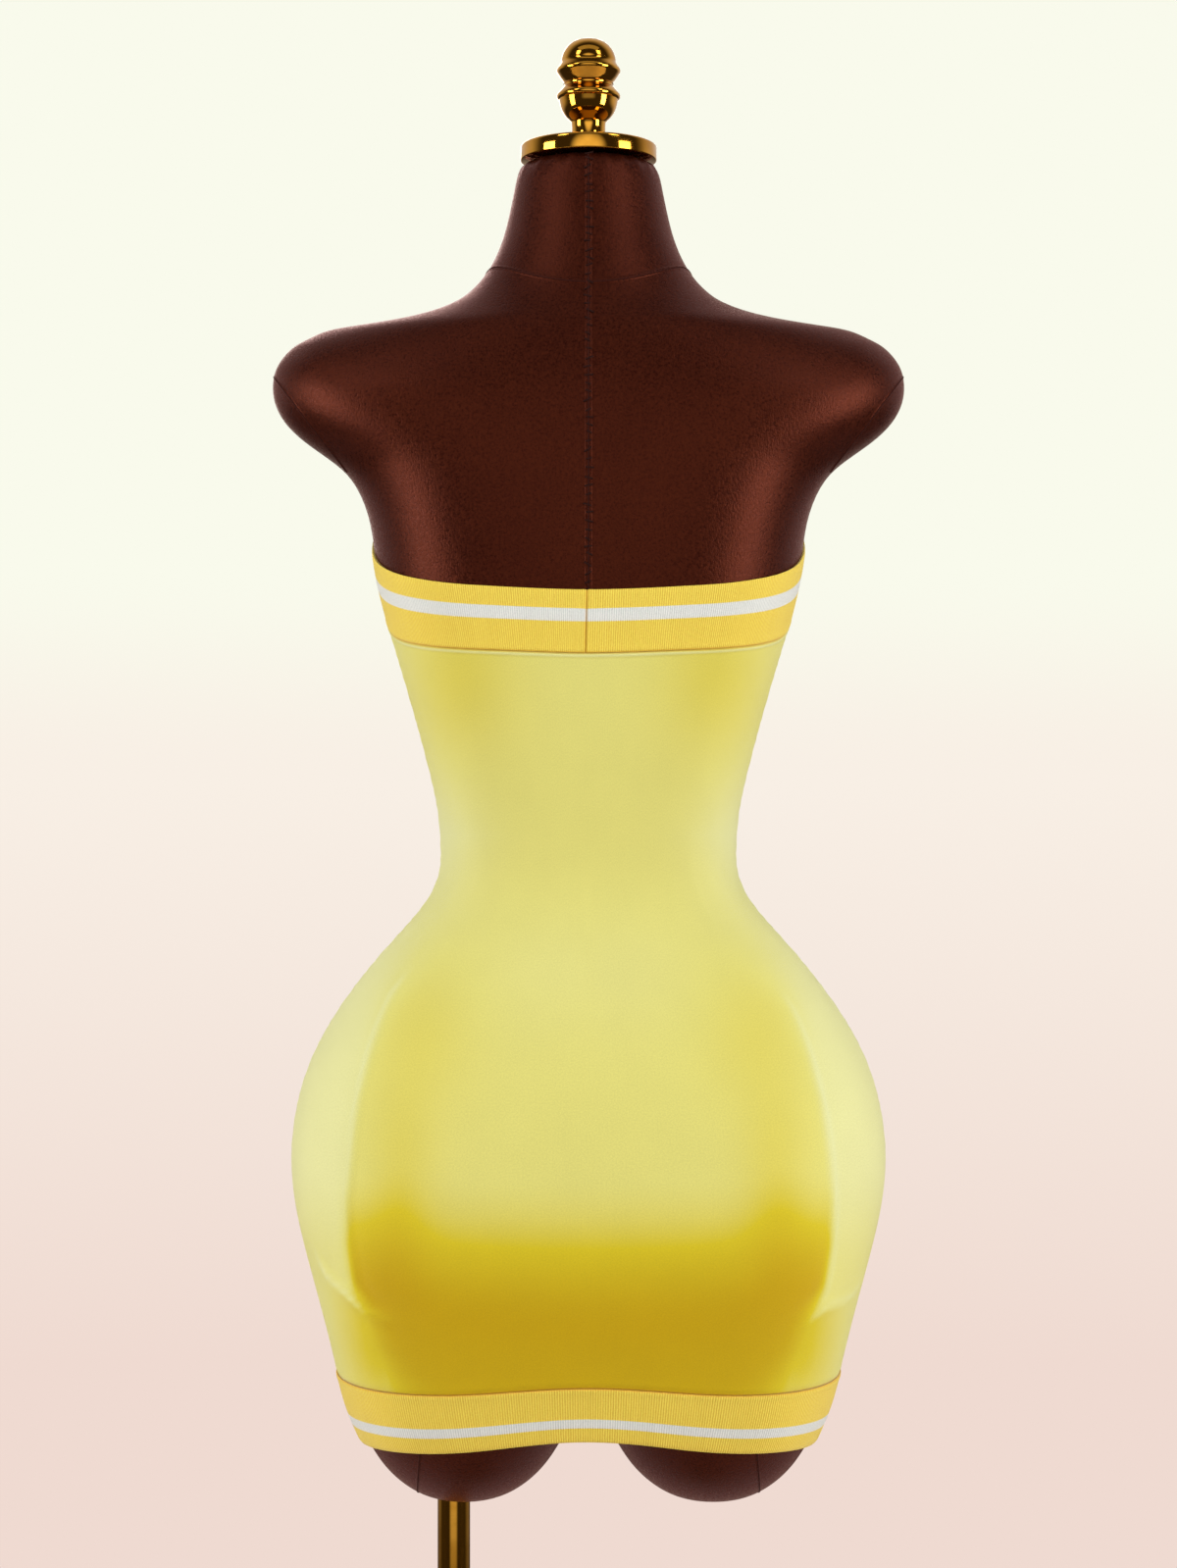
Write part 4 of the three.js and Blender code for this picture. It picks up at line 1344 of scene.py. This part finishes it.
# The finial's outline, radius and height above the disc
FINIAL = [
    (0, 0), (14.0, 0), (14.4, 1.2), (14.0, 2.6), (12.6, 4.6), (12.0, 7.0), (11.9, 12.0),
    (12.0, 15.6), (12.4, 16.4), (13.4, 17.6), (15.4, 19.4), (17.2, 21.6), (18.6, 24.0),
    (19.6, 26.6), (20.3, 29.4), (20.7, 31.6), (20.8, 32.0), (21.8, 32.6), (22.3, 33.4),
    (22.5, 34.4), (22.2, 35.4), (21.6, 36.3), (19.6, 38.6), (18.2, 40.3), (17.6, 41.0),
    (17.1, 41.2), (16.9, 42.0), (17.1, 42.8), (17.6, 43.0), (17.2, 43.6), (17.5, 44.3),
    (19.6, 47.2), (21.6, 50.2), (22.3, 51.2), (22.6, 52.2), (22.4, 53.2), (21.6, 54.4),
    (20.2, 56.6), (19.2, 58.2), (19.3, 59.2), (19.1, 61.0), (18.4, 63.8), (17.2, 66.4),
    (15.4, 69.0), (13.0, 71.3), (10.0, 73.1), (6.6, 74.2), (3.2, 74.7), (0, 74.8),
]

# The collar's outline, radius and height above its foot, between its two ends on the pole's bore
COLLAR = [
    (29.6, 0), (30.0, 0.5), (30.0, 2.4), (29.2, 3.6), (28.0, 4.0), (21.6, 4.0), (20.0, 4.8),
    (19.2, 6.4), (19.2, 49.6), (18.6, 51.2), (17.2, 52.0),
]

# Rounding of each piece's upper edge, and the collar's play on the pole, in millimetres
DISC_EDGE = 2.2
POLE_EDGE = 0.8
BASE_EDGE = 2.6
BORE_GAP = 0.3


# Operators


def place_piece(made, node=None):
    """Ties a piece to the root body, and hides the CAD node that it takes the place of"""
    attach(made, "root")
    if node:
        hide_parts(node)


class DRESS_OT_mix_finishes(bpy.types.Operator):
    """Makes the materials of the dress, the form and its stand"""

    bl_idname = "dress.mix_finishes"
    bl_label = "Mix finishes"

    def execute(self, context):
        jersey_material()
        width = size_mm("band_width")
        top, hem = ([width * share for share in stripe] for stripe in (TOP_STRIPE, HEM_STRIPE))
        rib_material("double_rib_knit_top", *top, 0.0)
        rib_material("double_rib_knit_hem", *hem, width)
        satin_material()
        thread_material("polyester_thread_spun", "thread")
        thread_material("polyester_thread_dark", "satin")
        brass_material()
        return {"FINISHED"}


class DRESS_OT_cover_form(bpy.types.Operator):
    """Covers the form in satin"""

    bl_idname = "dress.cover_form"
    bl_label = "Cover form"

    def execute(self, context):
        place_piece(cover_form(), "form_body")
        return {"FINISHED"}


# Half width and height of each of the cover's seams, in millimetres
NECK_SEAM = (2.4, 0.8)
BACK_SEAM = (3.0, 1.05)
ARM_SEAM = (2.0, 0.6)
THIGH_SEAM = (1.6, 0.6)

# Where the back seam and the arm seams run, in metres
BEHIND_MIDDLE = 0.02
BACK_SEAM_LOW = 1.24
ARM_SEAM_OUT = 0.15
ARM_SEAM_LOW = 1.34

# The thigh seams end at a height, and a line parts their back from their front
THIGH_SEAM_TOP = 0.69
THIGH_MIDDLE = 0.012

# A point and a direction of the plane of the left arm's and of the left thigh's seam, in metres
ARM_PLANE = ((0.214, 0, 1.402), (0.794, 0, -0.607))
THIGH_PLANE = ((0.116, 0, 0.65), (1, 0, 0.12))

# The steps of a seam's route, and how thick its thread is and how high it lies, in millimetres
SEAM_STEP = 1.5
THREAD_THICK = 0.9
THREAD_UP = 0.15


def mirrored(values, side):
    """A point or a direction of the left side, for a side of 1, or of the right, for -1"""
    return Vector((values[0] * side, values[1], values[2]))


class DRESS_OT_sew_cover(bpy.types.Operator):
    """Sews the cover's seams at the back, neck, arms and thighs"""

    bl_idname = "dress.sew_cover"
    bl_label = "Sew cover"

    def execute(self, context):
        cover = bpy.data.objects["satin_cover"]
        surface = surface_of(cover)
        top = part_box("form_body")[1].z

        def on_back(p):
            return p.y > BEHIND_MIDDLE and BACK_SEAM_LOW < p.z < top - 0.001

        back = plane_route(cover, (0, 0, 0), (1, 0, 0), on_back)
        routes = {
            "neck_seam": (neck_route(surface), *NECK_SEAM),
            "back_seam": (back, *BACK_SEAM),
        }
        for side, word in ((1, "left"), (-1, "right")):

            def on_arm(p, side=side):
                return side * p.x > ARM_SEAM_OUT and p.z > ARM_SEAM_LOW

            point, normal = (mirrored(values, side) for values in ARM_PLANE)
            routes[f"{word}_arm_seam"] = (plane_route(cover, point, normal, on_arm), *ARM_SEAM)
            point, normal = (mirrored(values, side) for values in THIGH_PLANE)
            for where in ("back", "front"):

                def on_thigh(p, is_back=where == "back"):
                    return p.z < THIGH_SEAM_TOP and (p.y > THIGH_MIDDLE) == is_back

                thigh = plane_route(cover, point, normal * side, on_thigh)
                routes[f"{word}_thigh_{where}_seam"] = (thigh, *THIGH_SEAM)
        satin = bpy.data.materials["stretch_satin_woven"]
        thread = bpy.data.materials["polyester_thread_spun"]
        dark = bpy.data.materials["polyester_thread_dark"]
        for name, (points, half_width, tall) in routes.items():
            route = evened(points, SEAM_STEP)
            strip = seam_strip(name, route, surface, half_width, tall, satin)
            place_piece(strip)
            cord = thread_cord(f"{name}_thread", route, surface, THREAD_THICK, THREAD_UP, dark)
            place_piece(cord)
        line = evened(sorted(back, key=lambda p: p.z), STITCH_STEP)
        place_piece(hand_stitches("back_seam_stitches", line, surface, thread))
        return {"FINISHED"}


class DRESS_OT_sew_panels(bpy.types.Operator):
    """Sews the back and front of the tube"""

    bl_idname = "dress.sew_panels"
    bl_label = "Sew panels"

    def execute(self, context):
        for name, node, from_back, flat, area in (
            ("back_jersey", "back_panel", True, (0.42, 0.50), 0.18),
            ("front_jersey", "front_panel", False, (0.42, 0.54), 0.195),
        ):
            made = sew_panel(name, node, from_back)
            place_piece(made, node)
        return {"FINISHED"}


class DRESS_OT_sew_bands(bpy.types.Operator):
    """Sews the rib bands at the top and the hem"""

    bl_idname = "dress.sew_bands"
    bl_label = "Sew bands"

    def execute(self, context):
        for name, node, rib, seam_is_low, flat in (
            ("top_rib", "top_band", "double_rib_knit_top", True, (0.72, 0.047)),
            ("hem_rib", "hem_band", "double_rib_knit_hem", False, (0.78, 0.044)),
        ):
            made = sew_band(name, node, bpy.data.materials[rib], seam_is_low)
            place_piece(made, node)
        return {"FINISHED"}


class DRESS_OT_turn_brass(bpy.types.Operator):
    """Turns the neck cap, finial, pole, collar and base in brass"""

    bl_idname = "dress.turn_brass"
    bl_label = "Turn brass"

    def execute(self, context):
        def ends(node):
            low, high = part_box(node)
            return low.z / MM, high.z / MM, (high.x - low.x) / 2 / MM, (high.x + low.x) / 2

        *pole, pole_x = ends("pole")
        foot = ends("base_socket")[0]
        finial_low = ends("finial")[0]
        bore = pole[2] + BORE_GAP
        rings = [(r, foot + up) for r, up in COLLAR]
        collar = [(bore, foot), *rings, (bore, rings[-1][1]), (bore, foot)]
        outlines = {
            "neck_cap": ("neck_disc", disc_outline(*ends("neck_disc")[:3], DISC_EDGE), 0.0),
            "turned_finial": ("finial", [(r, finial_low + up) for r, up in FINIAL], 0.0),
            "brass_pole": ("pole", disc_outline(*pole, POLE_EDGE), pole_x),
            "pole_collar": ("base_socket", collar, pole_x),
            "round_base": ("base_plate", disc_outline(*ends("base_plate")[:3], BASE_EDGE), 0.0),
        }
        brass = bpy.data.materials["lacquered_brass_polished"]
        for name, (node, outline, centre_x) in outlines.items():
            place_piece(turned_piece(name, outline, centre_x, brass), node)
        return {"FINISHED"}


# The floor's radius and the point that every light is aimed at, in metres
FLOOR_RADIUS = 1.9
DRESS_MIDDLE = (0, 0, 1.08)

# Place in metres, width, height and watts of each softbox
LIGHTS = {
    "left_box": ((2.15, 0.85, 1.3), 0.85, 1.6, 39),
    "right_box": ((-2.05, 1.05, 1.3), 0.85, 1.6, 41),
    "overhead_box": ((0, 0.9, 3.4), 2.6, 0.8, 4),
    "left_high": ((1.35, 1.25, 2.75), 0.5, 0.8, 9),
    "right_high": ((-1.35, 1.25, 2.75), 0.5, 0.8, 9),
    "front_box": ((0.4, -2.6, 2.2), 1.4, 1.6, 16),
}


def softbox(name, place, target, width, height, watts):
    """A rectangular light aimed at a point"""
    light = bpy.data.lights.new(name, "AREA")
    light.shape = "RECTANGLE"
    light.size, light.size_y = width, height
    light.energy = watts
    made = bpy.data.objects.new(name, light)
    bpy.context.scene.collection.objects.link(made)
    made.location = place
    made.rotation_euler = (Vector(target) - Vector(place)).to_track_quat("-Z", "Y").to_euler()


def light_world(scene):
    """A pale backdrop, pink below and greenish white above, over a dimmer room"""
    world = bpy.data.worlds.new("pale_backdrop")
    scene.world = world
    world.use_nodes = True
    tree = world.node_tree
    direction = add_node(tree, "ShaderNodeTexCoord").outputs["Generated"]
    parts = add_node(tree, "ShaderNodeSeparateXYZ", (direction,))
    back, up = parts.outputs[1], parts.outputs[2]
    low = add_node(tree, "ShaderNodeMapRange", (up, -0.19, 0.0)).outputs[0]
    high = add_node(tree, "ShaderNodeMapRange", (up, 0.0, 0.075), **SMOOTH).outputs[0]
    pinks = {0: low, 6: linear("EFDAD1"), 7: linear("F8EFE5")}
    pink = add_node(tree, "ShaderNodeMix", pinks, **RGBA).outputs[2]
    whites = {0: high, 6: pink, 7: linear("F9FAEC")}
    backdrop = add_node(tree, "ShaderNodeMix", whites, **RGBA).outputs[2]
    seen = tree.nodes["Background"]
    tree.links.new(backdrop, seen.inputs["Color"])
    # the room fills the cloth evenly; what is polished sees a window behind the camera, dark flags
    # beside it and pale walls further round
    behind = add_node(tree, "ShaderNodeMapRange", (back, -0.3, 0.95), **SMOOTH).outputs[0]
    greys = {0: behind, 6: linear("A8A29C"), 7: linear("DAD8D2")}
    room = add_node(tree, "ShaderNodeMix", greys, **RGBA).outputs[2]
    upright = add_node(tree, "ShaderNodeMapRange", (up, -0.3, 0.03), **SMOOTH).outputs[0]
    pane = add_node(tree, "ShaderNodeMapRange", (back, 0.84, 0.98), **SMOOTH).outputs[0]
    window = add_node(tree, "ShaderNodeMath", (pane, upright), operation="MULTIPLY").outputs[0]
    rounder = (back, 0.1, -0.5, 0.0, 0.5)
    wall = add_node(tree, "ShaderNodeMapRange", rounder, **SMOOTH).outputs[0]
    walls = add_node(tree, "ShaderNodeMath", (wall, upright), operation="MULTIPLY").outputs[0]
    bright = add_node(tree, "ShaderNodeMath", (window, walls), operation="ADD").outputs[0]
    flags = {0: bright, 6: linear("352F29"), 7: linear("FFFAF2")}
    flagged = add_node(tree, "ShaderNodeMix", flags, **RGBA).outputs[2]
    path = add_node(tree, "ShaderNodeLightPath")
    glossy = path.outputs["Is Glossy Ray"]
    lit = add_node(tree, "ShaderNodeMix", {0: glossy, 6: room, 7: flagged}, **RGBA).outputs[2]
    strength = add_node(tree, "ShaderNodeMath", (glossy, 0.9, 0.68), operation="MULTIPLY_ADD")
    fill = add_node(tree, "ShaderNodeBackground", (lit, strength.outputs[0]))
    sides = (path.outputs["Is Camera Ray"], fill.outputs[0], seen.outputs[0])
    both = add_node(tree, "ShaderNodeMixShader", sides)
    tree.links.new(both.outputs[0], tree.nodes["World Output"].inputs["Surface"])


class DRESS_OT_set_stage(bpy.types.Operator):
    """Sets the floor, the lights, the backdrop and the camera"""

    bl_idname = "dress.set_stage"
    bl_label = "Set stage"

    def execute(self, context):
        scene = context.scene
        scene.view_settings.view_transform = "Standard"
        bm = bmesh.new()
        bmesh.ops.create_circle(bm, cap_ends=True, segments=TURN_STEPS, radius=FLOOR_RADIUS)
        finished("floor", bm, floor_material())
        light_world(scene)
        for name, (place, width, height, watts) in LIGHTS.items():
            softbox(name, place, DRESS_MIDDLE, width, height, watts)
        settings = scene.dress_studio
        camera = bpy.data.cameras.new("photo_camera")
        camera.sensor_width = 36.0
        camera.lens = settings.lens
        holder = bpy.data.objects.new("photo_camera", camera)
        scene.collection.objects.link(holder)
        holder.location = (0, settings.camera_away, settings.camera_height)
        holder.rotation_euler = (math.pi / 2, 0, math.pi)
        scene.camera = holder
        return {"FINISHED"}


OPERATORS = (
    DRESS_OT_mix_finishes,
    DRESS_OT_cover_form,
    DRESS_OT_sew_cover,
    DRESS_OT_sew_panels,
    DRESS_OT_sew_bands,
    DRESS_OT_turn_brass,
    DRESS_OT_set_stage,
)


class DRESS_PT_sidebar(bpy.types.Panel):
    """Lists the steps that dress the model"""

    bl_idname = "DRESS_PT_sidebar"
    bl_label = "Dress"
    bl_space_type = "VIEW_3D"
    bl_region_type = "UI"
    bl_category = "Dress"

    def draw(self, context):
        for step in OPERATORS:
            self.layout.operator(step.bl_idname)


CLASSES = (ClothSizes, Finishes, StudioSettings, *OPERATORS, DRESS_PT_sidebar)


def register():
    """Registers the classes and the settings"""
    for each in CLASSES:
        bpy.utils.register_class(each)
    bpy.types.Scene.dress_sizes = bpy.props.PointerProperty(type=ClothSizes)
    bpy.types.Scene.dress_finishes = bpy.props.PointerProperty(type=Finishes)
    bpy.types.Scene.dress_studio = bpy.props.PointerProperty(type=StudioSettings)


def unregister():
    """Takes the settings and the classes away again"""
    del bpy.types.Scene.dress_studio
    del bpy.types.Scene.dress_finishes
    del bpy.types.Scene.dress_sizes
    for each in reversed(CLASSES):
        bpy.utils.unregister_class(each)


def main():
    """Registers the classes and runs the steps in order"""
    register()
    for step in OPERATORS:
        group, name = step.bl_idname.split(".")
        getattr(getattr(bpy.ops, group), name)()


if __name__ == "__main__":
    main()
